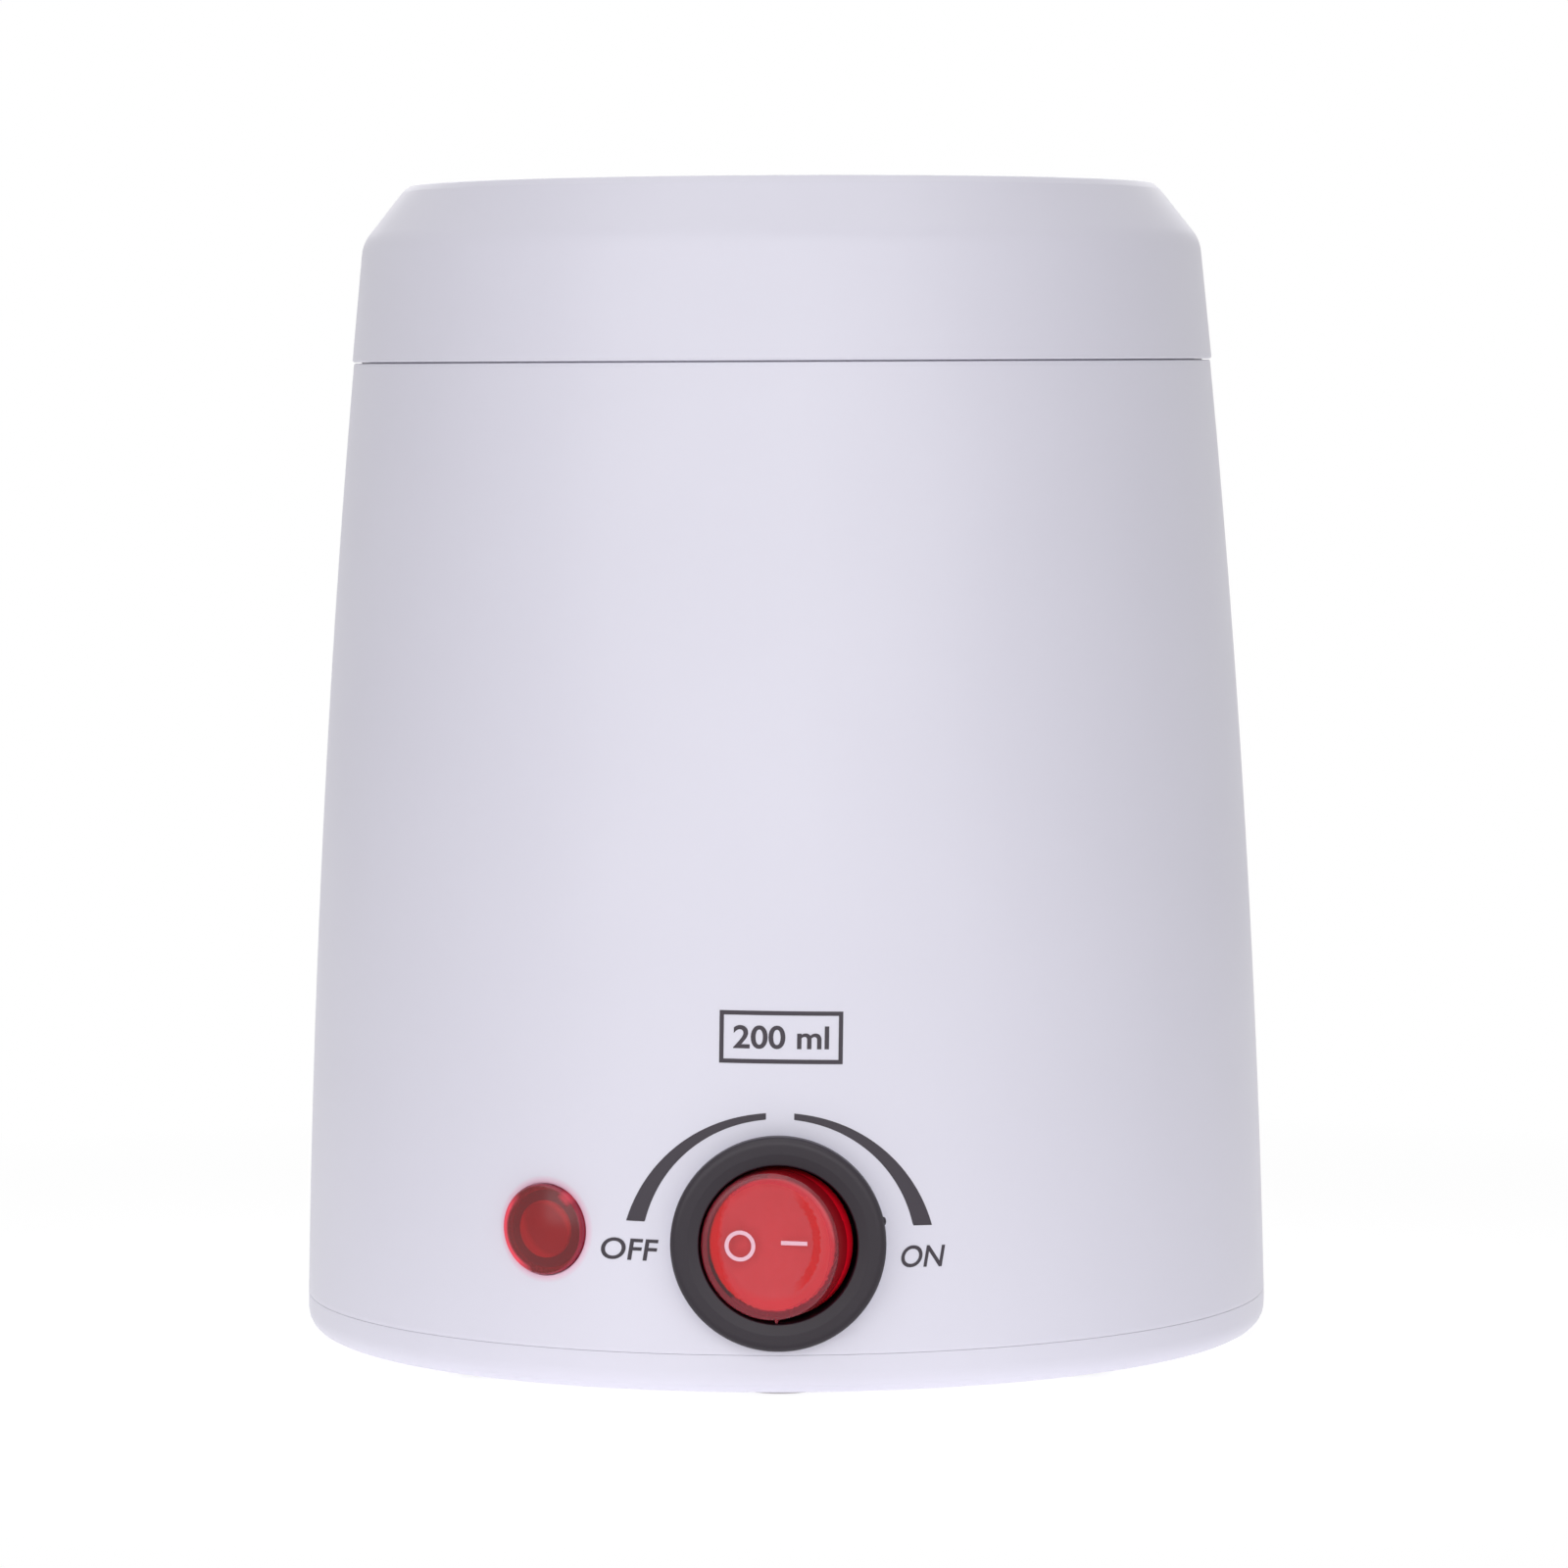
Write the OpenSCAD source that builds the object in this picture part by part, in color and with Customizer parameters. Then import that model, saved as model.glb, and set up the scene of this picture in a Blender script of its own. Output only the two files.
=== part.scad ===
// Small electric wax warmer: a tapering body with a round rocker switch and a pilot lamp on its
// front, a separate top collar, and a lift-out pot that hangs inside a heated well.
// +Z is up, the front looks along -Y, and the origin is the middle of the plane the feet stand on.
// Heights named _z are measured from the underside of the base cover.

/* [Body] */
// Height of the seam between body and collar
collar_seam_z = 110; // [108:0.5:114]
// Height of the seam between base cover and body
base_seam_z = 4.4; // [4:0.1:5]
// How far the body's foot reaches out past its top
flank_spread = 6.1; // [5:0.1:7]
// Radius of the flank's long outward curve
flank_r = 1498; // [1200:1:2500]
// Wall of the shell, the collar and the base cover
shell_wall = 2.2; // [2:0.1:2.4]
// Width of the shadow gap under the collar
shadow_gap = 0.3; // [0.2:0.05:0.4]
// Width of the seam above the base cover
base_gap = 0.15; // [0.1:0.05:0.2]

/* [Collar] */
// Height of the collar above its seam
collar_h = 19.9; // [19.5:0.1:21]
// Radial distance from the recess wall to the body's outside at the seam
collar_band = 7.4; // [7.2:0.1:8]
// How far the collar stands proud of the flank
collar_proud = 0.2; // [0:0.02:0.3]
// Height of the chamfer
chamfer_h = 6.4; // [5.5:0.1:7]
// Width of the rim between the chamfer and the recess
rim_w = 1.8; // [1.6:0.1:2.2]
// Depth of the recess that takes the pot's flange
recess_h = 5.3; // [5:0.1:5.8]
// Wall of the collar's inner tube and ledge
tube_wall = 1.8; // [1.6:0.1:2]

/* [Pot] */
// Outer diameter of the pot below its flange
pot_d = 72.6; // [70:0.1:74]
// Inner depth of the pot
pot_depth = 60; // [56:0.5:62]
// Sheet of the pot's wall
pot_wall = 1.0; // [0.8:0.1:1.2]
// How much the pot's radius draws in towards its floor
pot_draft = 0.7; // [0.5:0.1:1]
// Radius of the bend between wall and floor
pot_bend = 5; // [4:0.5:6]
// Width of the pot's flange
flange_w = 4.35; // [4.2:0.05:4.6]
// Radius of the rolled bead on the flange's edge
bead_r = 0.75; // [0.7:0.05:0.9]

/* [Bail] */
// Diameter of the bail's wire
bail_wire_d = 2.0; // [1.8:0.1:2.1]
// Height of the bail's pivot above the flange
bail_pivot_h = 2.2; // [2.1:0.1:2.4]
// Bend radius at the bail's ends
bail_bend = 1.4; // [1.2:0.1:1.5]
// Sheet of the two bail lugs
lug_t = 0.7; // [0.6:0.1:0.8]
// Width of each lug
lug_w = 7; // [6:0.5:8]

/* [Heating well] */
// Wall of the well
well_wall = 1.2; // [1:0.1:1.3]
// Floor of the well
well_floor = 1.5; // [1.2:0.1:1.8]
// Width of the heater band
band_h = 28; // [24:1:30]
// Thickness of the heater band
band_t = 1.6; // [1.4:0.1:1.8]
// Width of the clamping strap
strap_h = 8; // [7:0.5:9]
// Sheet of the strap, the fuse clip and the thermostat's bracket
strap_t = 0.8; // [0.7:0.1:0.9]
// Thickness of the insulation sleeve
sleeve_t = 2.4; // [2:0.1:2.8]
// How far the insulation sleeve reaches past the band's lower edge
sleeve_below = 4; // [3:0.5:5]
// Thickness of the seal between well and collar
seal_t = 1.0; // [0.8:0.1:1.2]

/* [Switch] */
// Height of the switch's centre
switch_z = 16.4; // [16:0.1:18]
// How far the bezel laps over the panel round the body
bezel_lap = 1.6; // [1.4:0.1:1.8]
// Thickness of the bezel
bezel_t = 2.0; // [1.8:0.1:2.2]
// Diameter of the body behind the panel
switch_body_d = 19.8; // [19.6:0.1:20]
// Depth of the body behind the bezel
switch_depth = 20; // [19.5:0.5:22]
// Wall of the body round the rocker
switch_wall = 1.45; // [1.4:0.05:1.55]
// Thickness of the panel at the switch
panel_t = 3.0; // [2.8:0.1:3.2]
// Gap between the rocker and the bezel's opening
rocker_gap = 0.35; // [0.3:0.05:0.45]
// How much smaller the rocker's face is than its pivot, in diameter
face_draw = 1.4; // [1.3:0.1:1.6]
// Height of the rocker's face above its pivot
face_h = 4.8; // [4.6:0.1:4.9]
// Depth of the rocker's pivot behind the bezel's front
pivot_depth = 3.0; // [2.8:0.1:3.2]
// Tilt of the rocker either side of level
rocker_tilt = 12; // [10:0.5:12]
// Tilt of the contact lever either side of level
lever_tilt = 8; // [7:0.5:8]
// Spacing of the switch's blades
blade_pitch = 6; // [5.8:0.1:6.2]
// Width of a blade
blade_w = 4.8; // [4.4:0.1:5]
// Thickness of a blade
blade_t = 0.8; // [0.7:0.1:0.9]

/* [Pilot lamp] */
// Height of the pilot lens
lens_z = 17.1; // [16.5:0.1:18]
// Angle of the pilot lens left of the front
lens_angle = 27.6; // [26.5:0.1:30]
// Diameter of the lens
lens_d = 10.2; // [9.8:0.1:10.6]
// Diameter of the lens's barrel
barrel_d = 8.4; // [8.2:0.1:8.6]
// Length of the lens's barrel
barrel_l = 14; // [13:0.5:15]

/* [Base] */
// How far the feet stand out of the base cover
foot_stand = 1.0; // [0.8:0.1:1.2]
// Diameter of a foot
foot_d = 9; // [8:0.5:10]
// Distance of the feet's middles from the base cover's edge
foot_inset = 11.7; // [11:0.1:12.5]
// Gap between the shell's wall and the screw posts
post_gap = 2.5; // [2.3:0.1:3]
// Radius of the base cover's lower edge
base_edge_r = 2.5; // [2:0.1:3]
// Number of vent slots
vents = 18; // [14:1:20]

/* [Cord entry] */
// Height of the gland
gland_z = 17; // [16:0.5:18]
// Bore of the gland
gland_bore_d = 6.4; // [6:0.1:6.8]
// Diameter of the gland's collar outside
gland_d = 14; // [13.5:0.5:15]
// How far the gland stands out of the body
gland_stand = 4.4; // [3.5:0.1:5]

/* [Terminal block] */
// Number of poles
poles = 3; // [3:1:3]
// Spacing of the poles
pole_pitch = 8; // [7.8:0.1:8.4]
// Length of the block along its wires
block_l = 16; // [15:0.5:17]
// Height of the block
block_h = 12; // [11:0.5:13]
// Distance of the block behind the middle
block_y = 24; // [23:0.5:25]

/* [Clearances] */
// Gap under the pot's flange and floor
seat_gap = 0.3; // [0.2:0.05:0.3]
// Gap beside the pot's flange in the recess
mouth_gap = 0.55; // [0.5:0.05:0.7]
// Gap between the pot and the collar's tube
throat_gap = 1.1; // [1:0.1:1.3]
// Gap between the pot and the well's wall
well_gap = 0.7; // [0.6:0.05:0.8]
// Gap of a part pushed into a hole
slip_gap = 0.1; // [0.08:0.01:0.15]
// Radial running clearance of a pivot
pivot_gap = 0.05; // [0.03:0.01:0.08]
// Gap between a part and the fixed part that holds it
rest_gap = 0.05; // [0.04:0.01:0.1]
// Gap between the insulation sleeve and the screw heads above it
sleeve_gap = 1.0; // [0.8:0.1:1.5]

/* [Hidden] */
$fn = 64;

// Colours, as the photograph shows them or as such parts usually are
lavender_white = "#DEDCE8";
satin_black = "#423C43";
rocker_red = "#D4545A";
lens_red = "#8C3038";
bare_aluminium = "#C9CBCE";
zinc_steel = "#A9AEB3";
brass_yellow = "#C9A24A";
nylon_white = "#EDEAE0";
glass_clear = "#DCE6EA";
rubber_grey = "#3A3A3C";
mica_grey = "#9A9488";
fibre_white = "#E6E2D8";
phenolic_black = "#2B2926";
silicone_orange = "#B4553A";
lead_brown = "#6B3F28";
lead_blue = "#3C6FB0";
lead_green = "#5F9A3F";
lead_white = "#E4E2DC";

// Steps used for the flank, and for each rounded corner
flank_steps = 8;
corner_steps = 5;
thin = 0.01;

// Radii from the pot outwards
pot_r = pot_d / 2;
pot_flange_r = pot_r + flange_w;
mouth_r = pot_flange_r + mouth_gap;
throat_r = pot_r + throat_gap;
tube_r = throat_r + tube_wall;
well_r = pot_r + well_gap;
well_outer_r = well_r + well_wall;
body_top_r = mouth_r + collar_band;
body_base_r = body_top_r + flank_spread;

// The flank is an arc through the body's foot and its top
flank_low = [body_base_r, base_seam_z];
flank_high = [body_top_r, collar_seam_z];
flank_chord = flank_high - flank_low;
flank_sag = sqrt(pow(flank_r, 2) - pow(norm(flank_chord) / 2, 2));
flank_centre = (flank_low + flank_high) / 2
    - flank_sag * [flank_chord[1], -flank_chord[0]] / norm(flank_chord);
function flank(z) = flank_centre[0] + sqrt(pow(flank_r, 2) - pow(z - flank_centre[1], 2));
function flank_points(z1, z2, inset) =
    [for (i = [0:flank_steps]) let (z = z1 + (z2 - z1) * i / flank_steps) [flank(z) - inset, z]];

// Heights from the collar downwards
collar_top_z = collar_seam_z + collar_h;
ledge_z = collar_top_z - recess_h;
pot_flange_z = ledge_z + seat_gap;
pot_sheet_z = pot_flange_z + 2 * bead_r;
pot_floor_z = pot_sheet_z - pot_depth;
well_floor_z = pot_floor_z - pot_wall - seat_gap;
well_under_z = well_floor_z - well_floor;
flange_top_z = collar_seam_z + 3.8;
well_flange_z = flange_top_z - well_wall;
tube_end_z = flange_top_z + seal_t;
shell_bottom_z = base_seam_z + base_gap / 2;
shell_top_z = collar_seam_z - shadow_gap / 2;

// The lip that the collar sits over, and the ears and bosses that join shell, collar and well
lip_inset = 1.8;
lip_wall = 1.3;
lip_h = 2.4;
lip_root = 2.5;
lip_r = body_top_r - lip_inset;
ear_t = 2.4;
ear_top_z = collar_seam_z - 0.2;
ear_span = 20;
ear_wall_bite = 1.2;
boss_d = 6;
boss_ring_r = tube_r + boss_d / 2;
collar_screw_turns = [90, 210, 330];
well_screw_turns = [30, 150, 270];
screw_core_d = 2.6;
pilot_d = 2.7;
screw_hole_d = 3.2;
screw_head_d = 5.2;
screw_head_h = 1.8;
edge_break = 0.3;

// The well's flange stays inside the lip and is notched where the collar's screw bosses pass
well_flange_r = lip_r - lip_wall - 0.5;
notch_d = boss_d + 1;

// The heater band's height and the places of what holds it
band_low = 1.5;
band_z = (well_under_z + well_flange_z - band_h) / 2 - band_low;
band_r = well_outer_r + slip_gap;
strap_r = band_r + band_t + rest_gap;
strap_z = band_z + band_h / 2;
sleeve_r = strap_r + strap_t + 0.25;
sleeve_z = band_z - sleeve_below;
sleeve_h = ear_top_z - ear_t - screw_head_h - sleeve_gap - sleeve_z;
seam_turn = 62;
band_slot = 10;
strap_slot = 8;
sleeve_slot = 34;
clamp_ear_l = 5;
clamp_bolt_r = strap_r + clamp_ear_l - 1.7;
clamp_bolt_d = 2.5;
clamp_head_d = 4.6;
clamp_nut_d = 5.6;

// Sizes of the switch that follow its body, and places on the front panel
bezel_d = switch_body_d + 2 * bezel_lap;
opening_d = switch_body_d - 2 * switch_wall;
rocker_d = opening_d - 2 * rocker_gap;
face_d = rocker_d - face_draw;
panel_y = -(flank(switch_z) + 0.2);
panel_back_y = panel_y + panel_t;
switch_hole_d = switch_body_d + 4 * slip_gap;
boss_flat_d = bezel_d - 0.6;
pivot_y = panel_y - bezel_t + pivot_depth;
bezel_round = 0.8;
bezel_step_d = opening_d + 1.5;
bezel_slope = 0.8;
rocker_wall = 1.2;
rocker_skirt = 5;
skirt_d = face_d - 0.6;
pivot_d = 2.4;
pivot_bite = 0.9;
plunger_reach = 9.5;
plunger_d = 2.4;
plunger_l = 5;
plunger_bore_d = plunger_d + 2 * slip_gap;
plunger_bore_top = 2;
plunger_tube_wall = 0.9;
rocker_hollow_r = skirt_d / 2 - rocker_wall;
plunger_tube_r = plunger_bore_d / 2 + plunger_tube_wall;
lamp_play = 1.1;
lamp_gap = 0.3;
lamp_end_gap = 0.2;
lamp_height = 1.8;
lever_w = 4;
lever_half = 5.2;
lever_front = 1.3;
lever_back = 0.25;
lever_y = pivot_y + plunger_reach + seat_gap + lever_front;
contact_h = 0.5;
contact_d = 2;
switch_floor = 2;
switch_back_y = panel_y + switch_depth;
blade_end_y = switch_back_y + 8;
spade_l = 17;
spade_y = switch_back_y + 0.8;

// Places of the pilot lamp along its own axis, measured from the body's middle
lens_seat = flank(lens_z) - 0.35;
lens_hole_d = barrel_d + 2 * slip_gap;
lens_flange_t = 1.1;
lens_dome = 0.7;
lens_edge = 0.4;
lens_bore_d = 6.4;
lamp_boss_d = 15;
lamp_boss = lens_seat - 3.2;
bulb_d = 5.8;
bulb_l = 11;
resistor_x = 1.5;
resistor_l = 7;
resistor_end = barrel_l + 3 + resistor_l;

// The base cover's inside, its screw posts and the shell's posts that meet them
base_floor_z = shell_wall;
base_r = body_base_r;
rim_fit_wall = 1.6;
rim_fit_h = 3.2;
rim_fit_r = flank(base_seam_z + rim_fit_h) - shell_wall - slip_gap;
post_d = 8;
base_screw_r = base_r - shell_wall - post_gap - post_d / 2;
foot_ring_r = base_r - foot_inset;
post_seat_z = 9;
head_seat_z = 5.6;
shell_post_top_z = 27;
base_screw_turns = [45, 135, 225, 315];
foot_turns = [0, 90, 180, 270];
foot_recess = 0.6;
vent_ring_r = 29;
vent_l = 12;
vent_w = 2;

// The gland is pushed through the rear wall
gland_y = flank(gland_z);
gland_neck_d = 10.6;
gland_inner_d = 12.6;
gland_inner_t = 2;

// The terminal block stands on two pads on the base cover's floor
block_w = poles * pole_pitch;
pad_h = 1;
block_body_h = 8;
block_z = base_floor_z + pad_h;
insert_d = 4.4;
insert_bore_d = 3;
insert_z = block_z + 5.5;
block_screw_d = 3;

// Thermostat, its pillars and the fuse, all under the well
cap_d = 15.8;
cap_h = 2.6;
thermo_d = 15.2;
thermo_h = 8.5;
pillar_d = 6;
pillar_x = 12;
pillar_h = cap_h - rest_gap;
thermo_screw_d = 3;
thermo_blade_x = 4.5;
thermo_blade_w = 6.3;
thermo_blade_l = 8;
tag_t = 0.8;
fuse_y = 21;
fuse_d = 4;
fuse_l = 11;
fuse_sleeve_d = 5.6;
fuse_sleeve_l = 16;
splice_d = 3.6;
splice_l = 8.4;
fuse_z = well_under_z - fuse_sleeve_d / 2 - rest_gap;
fuse_pillar_y = fuse_y - 7.5;
fuse_pillar_x = 0;

// Points of a path with its corners rounded: each entry is [x, y, corner radius]
function unit(v) = v / norm(v);
function corner_arc(a, b, c, r) =
    r == 0 ? [b] :
    let (u = unit(a - b), w = unit(c - b), half = acos(u * w) / 2,
        mid = b + unit(u + w) * r / sin(half),
        p = b + u * r / tan(half) - mid, q = b + w * r / tan(half) - mid,
        from = atan2(p[1], p[0]), raw = atan2(q[1], q[0]) - from,
        sweep = raw > 180 ? raw - 360 : raw < -180 ? raw + 360 : raw)
    [for (i = [0:corner_steps]) let (t = from + sweep * i / corner_steps) mid + r * [cos(t), sin(t)]];
function rounded(path) =
    [for (i = [0:len(path) - 1])
        let (a = path[(i + len(path) - 1) % len(path)], b = path[i], c = path[(i + 1) % len(path)])
        each corner_arc([a[0], a[1]], [b[0], b[1]], [c[0], c[1]], b[2])];
function sharp(points) = [for (p = points) [p[0], p[1], 0]];

module lifted() translate([0, 0, foot_stand]) children();
module at_turn(turn, r, z) rotate(turn) translate([r, 0, z]) children();
module ring(r1, r2, z1, z2, slot = 0) {
    rotate(slot / 2) rotate_extrude(angle = slot == 0 ? 360 : 360 - slot)
        translate([r1, z1]) square([r2 - r1, z2 - z1]);
}
// Everything inside is drawn with +Z pointing out of the front panel's face
module on_panel(y) translate([0, y, switch_z]) rotate([90, 0, 0]) children();
// Everything inside is drawn with +Z pointing outwards along the pilot lamp's axis
module on_lamp(r) rotate(-lens_angle) translate([0, -r, lens_z]) rotate([90, 0, 0]) children();
// Everything inside is drawn with +Z pointing out of the rear wall
module on_rear(y) translate([0, y, gland_z]) rotate([-90, 0, 0]) children();
// A self-tapping screw: its head lies below its seat at z = 0, its shank points up
module tapping_screw(l, d = screw_core_d, head_d = screw_head_d, head_h = screw_head_h) {
    difference() {
        union() {
            translate([0, 0, -head_h]) rotate_extrude()
                polygon(rounded([[0, 0, 0], [head_d / 2, 0, 0.5], [head_d / 2, head_h, 0],
                    [0, head_h, 0]]));
            cylinder(d = d, h = l - 1);
            translate([0, 0, l - 1]) cylinder(d1 = d, d2 = d / 2, h = 1);
        }
        for (a = [0, 90]) rotate(a) translate([-1.4, -0.3, -head_h - thin]) cube([2.8, 0.6, 1 + thin]);
    }
}

module outer_shell() color(lavender_white) lifted() difference() {
    union() {
        rotate_extrude() polygon(concat(
            flank_points(shell_bottom_z, shell_top_z, 0),
            [[lip_r, shell_top_z], [lip_r, shell_top_z + lip_h], [lip_r - lip_wall, shell_top_z + lip_h],
             [lip_r - lip_wall, shell_top_z - lip_root]],
            flank_points(shell_top_z - 2 * lip_root, shell_bottom_z, shell_wall)));
        // Ears that the collar is screwed to
        for (a = collar_screw_turns) difference() {
            rotate(a - ear_span / 2) rotate_extrude(angle = ear_span)
                translate([tube_r + 0.4, ear_top_z - ear_t])
                square([lip_r - lip_wall + ear_wall_bite - tube_r - 0.4, ear_t]);
            at_turn(a, boss_ring_r, ear_top_z - ear_t - 1) cylinder(d = screw_hole_d, h = ear_t + 2);
        }
        // Posts for the base screws, tied to the wall by ribs
        for (a = base_screw_turns) difference() {
            union() {
                at_turn(a, base_screw_r, post_seat_z)
                    cylinder(d = post_d, h = shell_post_top_z - post_seat_z);
                at_turn(a, base_screw_r, post_seat_z)
                    translate([0, -0.9, 0])
                    cube([flank(shell_post_top_z) - base_screw_r - shell_wall / 2, 1.8,
                        shell_post_top_z - post_seat_z - 2]);
            }
            at_turn(a, base_screw_r, post_seat_z - 1) cylinder(d = pilot_d, h = 13);
        }
        // Flat seat that carries the bezel
        on_panel(panel_back_y) cylinder(d = boss_flat_d, h = panel_t);
        // Flat seat for the pilot lamp's clip
        on_lamp(lamp_boss) cylinder(d = lamp_boss_d, h = 2.6);
        // Flat seat for the gland's inner collar
        on_rear(gland_y - shell_wall - 1.4) cylinder(d = gland_d + 2, h = 2.4);
    }
    on_panel(panel_back_y + 8) cylinder(d = boss_flat_d + 2, h = 8);
    on_panel(panel_back_y + 1) cylinder(d = switch_hole_d, h = panel_t + 2);
    on_panel(panel_y) cylinder(d = bezel_d + 4 * slip_gap, h = 3);
    on_lamp(lamp_boss - 1) cylinder(d = lens_hole_d, h = 8);
    on_lamp(lens_seat) cylinder(d = lens_d + 4 * slip_gap, h = 4);
    on_rear(gland_y - shell_wall - 3) cylinder(d = gland_neck_d + 2 * slip_gap, h = 10);
    on_rear(gland_y - 0.4) cylinder(d = gland_d + 4 * slip_gap, h = 4);
}

// Inside of the collar's outer wall and of its chamfer, as one wall's thickness
collar_low_z = collar_seam_z + shadow_gap / 2;
chamfer_z = collar_top_z - chamfer_h;
rim_r = mouth_r + rim_w;
rebate_r = lip_r + 2 * slip_gap;
rebate_z = shell_top_z + lip_h + 0.4;
chamfer_lean = atan2(flank(chamfer_z) - rim_r, chamfer_h - 0.7);
chamfer_offset = shell_wall / cos(chamfer_lean);

module top_collar() color(lavender_white) lifted() difference() {
    union() {
        rotate_extrude() polygon(rounded(concat(
            [[flank(collar_low_z) + collar_proud - edge_break, collar_low_z, 0],
             [flank(collar_low_z) + collar_proud, collar_low_z + edge_break, 0],
             [flank(chamfer_z) + collar_proud, chamfer_z, 1.5],
             [rim_r, collar_top_z - 0.7, 0.6],
             [rim_r - 0.8, collar_top_z, 0.6],
             [mouth_r, collar_top_z, 0.6],
             [mouth_r, ledge_z, 0],
             [throat_r, ledge_z, 0.4],
             [throat_r, tube_end_z, 0],
             [tube_r, tube_end_z, 0],
             [tube_r, ledge_z - tube_wall, 0],
             [mouth_r + tube_wall, ledge_z - tube_wall, 0],
             [mouth_r + tube_wall, min(ledge_z + 0.4, chamfer_z), 0],
             [flank(chamfer_z) - chamfer_offset, chamfer_z - 1, 0],
             [flank(rebate_z) - shell_wall, rebate_z, 0],
             [rebate_r, rebate_z, 0],
             [rebate_r, collar_low_z, 0]])));
        // Bosses for the shell's ears and for the well's flange
        for (a = collar_screw_turns)
            at_turn(a, boss_ring_r, ear_top_z) cylinder(d = boss_d, h = ledge_z - 1 - ear_top_z);
        for (a = well_screw_turns)
            at_turn(a, boss_ring_r, flange_top_z) cylinder(d = boss_d, h = ledge_z - 1 - flange_top_z);
    }
    for (a = collar_screw_turns)
        at_turn(a, boss_ring_r, ear_top_z - thin) cylinder(d = pilot_d, h = 9);
    for (a = well_screw_turns)
        at_turn(a, boss_ring_r, flange_top_z - thin) cylinder(d = pilot_d, h = 7);
}

module base_cover() color(lavender_white) lifted() difference() {
    union() {
        rotate_extrude() polygon(rounded([
            [0, 0, 0],
            [base_r, 0, base_edge_r],
            [base_r, base_seam_z - base_gap / 2, 0],
            [rim_fit_r, base_seam_z - base_gap / 2, 0],
            [rim_fit_r, base_seam_z + rim_fit_h, 0.4],
            [rim_fit_r - rim_fit_wall, base_seam_z + rim_fit_h, 0.4],
            [rim_fit_r - rim_fit_wall, base_floor_z, 0],
            [0, base_floor_z, 0]]));
        for (a = base_screw_turns) at_turn(a, base_screw_r, base_floor_z - 1)
            cylinder(d = post_d, h = post_seat_z - rest_gap - base_floor_z + 1);
        // Pads and screw post under the terminal block
        for (s = [-1, 1])
            translate([s * (block_w / 2 - 2) - 1.5, block_y - block_l / 2 + 1, base_floor_z - 1])
            cube([3, block_l - 2, pad_h + 1]);
        translate([pole_pitch / 2, block_y, base_floor_z - 1]) cylinder(d = 5, h = pad_h + 1);
    }
    for (a = base_screw_turns) at_turn(a, base_screw_r, -1) {
        cylinder(d = screw_hole_d, h = post_seat_z + 2);
        cylinder(d = screw_head_d + 0.8, h = head_seat_z + 1);
    }
    for (a = foot_turns) at_turn(a, foot_ring_r, -1)
        cylinder(d = foot_d + 2 * slip_gap, h = foot_recess + 1);
    // The register rim is left out below the switch
    translate([-bezel_d / 2 - 1.5, -base_r, base_seam_z - base_gap / 2])
        cube([bezel_d + 3, 12, rim_fit_h + 1]);
    for (i = [0:vents - 1]) at_turn((i + 0.5) * 360 / vents, vent_ring_r - vent_l / 2, 0)
        if (!vent_blocked((i + 0.5) * 360 / vents)) vent_slot();
    translate([pole_pitch / 2, block_y, 0.8]) cylinder(d = pilot_d - 0.4, h = 4);
}
// The rear slots are left out where the terminal block stands
function vent_blocked(a) = a > 55 && a < 125;
module vent_slot() translate([0, 0, -1]) {
    translate([0, -vent_w / 2, 0]) cube([vent_l, vent_w, shell_wall + 2]);
    for (x = [0, vent_l]) translate([x, 0, 0]) cylinder(d = vent_w, h = shell_wall + 2);
}

module rubber_feet() color(rubber_grey) for (a = foot_turns) at_turn(a, foot_ring_r, 0)
    rotate_extrude() polygon(rounded([[0, 0, 0], [foot_d / 2, 0, 0.5],
        [foot_d / 2, foot_stand + foot_recess, 0], [0, foot_stand + foot_recess, 0]]));

module base_screws() color(zinc_steel) lifted() for (a = base_screw_turns)
    at_turn(a, base_screw_r, head_seat_z) tapping_screw(12);
module collar_screws() color(zinc_steel) lifted() for (a = collar_screw_turns)
    at_turn(a, boss_ring_r, ear_top_z - ear_t) tapping_screw(9);
module well_screws() color(zinc_steel) lifted() for (a = well_screw_turns)
    at_turn(a, boss_ring_r, well_flange_z) tapping_screw(7);

module heating_well() color(bare_aluminium) lifted() difference() {
    union() {
        rotate_extrude() polygon(rounded([
            [0, well_under_z, 0],
            [well_outer_r, well_under_z, pot_bend + well_wall],
            [well_outer_r, well_flange_z, 0.6],
            [well_flange_r, well_flange_z, 0],
            [well_flange_r, flange_top_z, 0],
            [well_r, flange_top_z, 1],
            [well_r, well_floor_z, pot_bend],
            [0, well_floor_z, 0]]));
        // Pillars for the thermostat's bracket and the fuse clip
        for (s = [-1, 1]) translate([s * pillar_x, 0, well_under_z - pillar_h])
            cylinder(d = pillar_d, h = pillar_h + well_floor / 2);
        translate([fuse_pillar_x, fuse_pillar_y, well_under_z - pillar_h])
            cylinder(d = pillar_d, h = pillar_h + well_floor / 2);
    }
    for (a = collar_screw_turns) at_turn(a, boss_ring_r, well_flange_z - 1) {
        cylinder(d = notch_d, h = well_wall + 2);
        translate([0, -notch_d / 2, 0]) cube([well_flange_r, notch_d, well_wall + 2]);
    }
    for (a = well_screw_turns) at_turn(a, boss_ring_r, well_flange_z - 1)
        cylinder(d = screw_hole_d, h = well_wall + 2);
    for (s = [-1, 1]) translate([s * pillar_x, 0, well_under_z - pillar_h - 1])
        cylinder(d = thermo_screw_d - 0.3, h = pillar_h + 1.4);
    translate([fuse_pillar_x, fuse_pillar_y, well_under_z - pillar_h - 1])
        cylinder(d = thermo_screw_d - 0.3, h = pillar_h + 1.4);
}

module well_seal() color(silicone_orange) lifted()
    ring(well_r + 0.4, tube_r, flange_top_z, tube_end_z);

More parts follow.
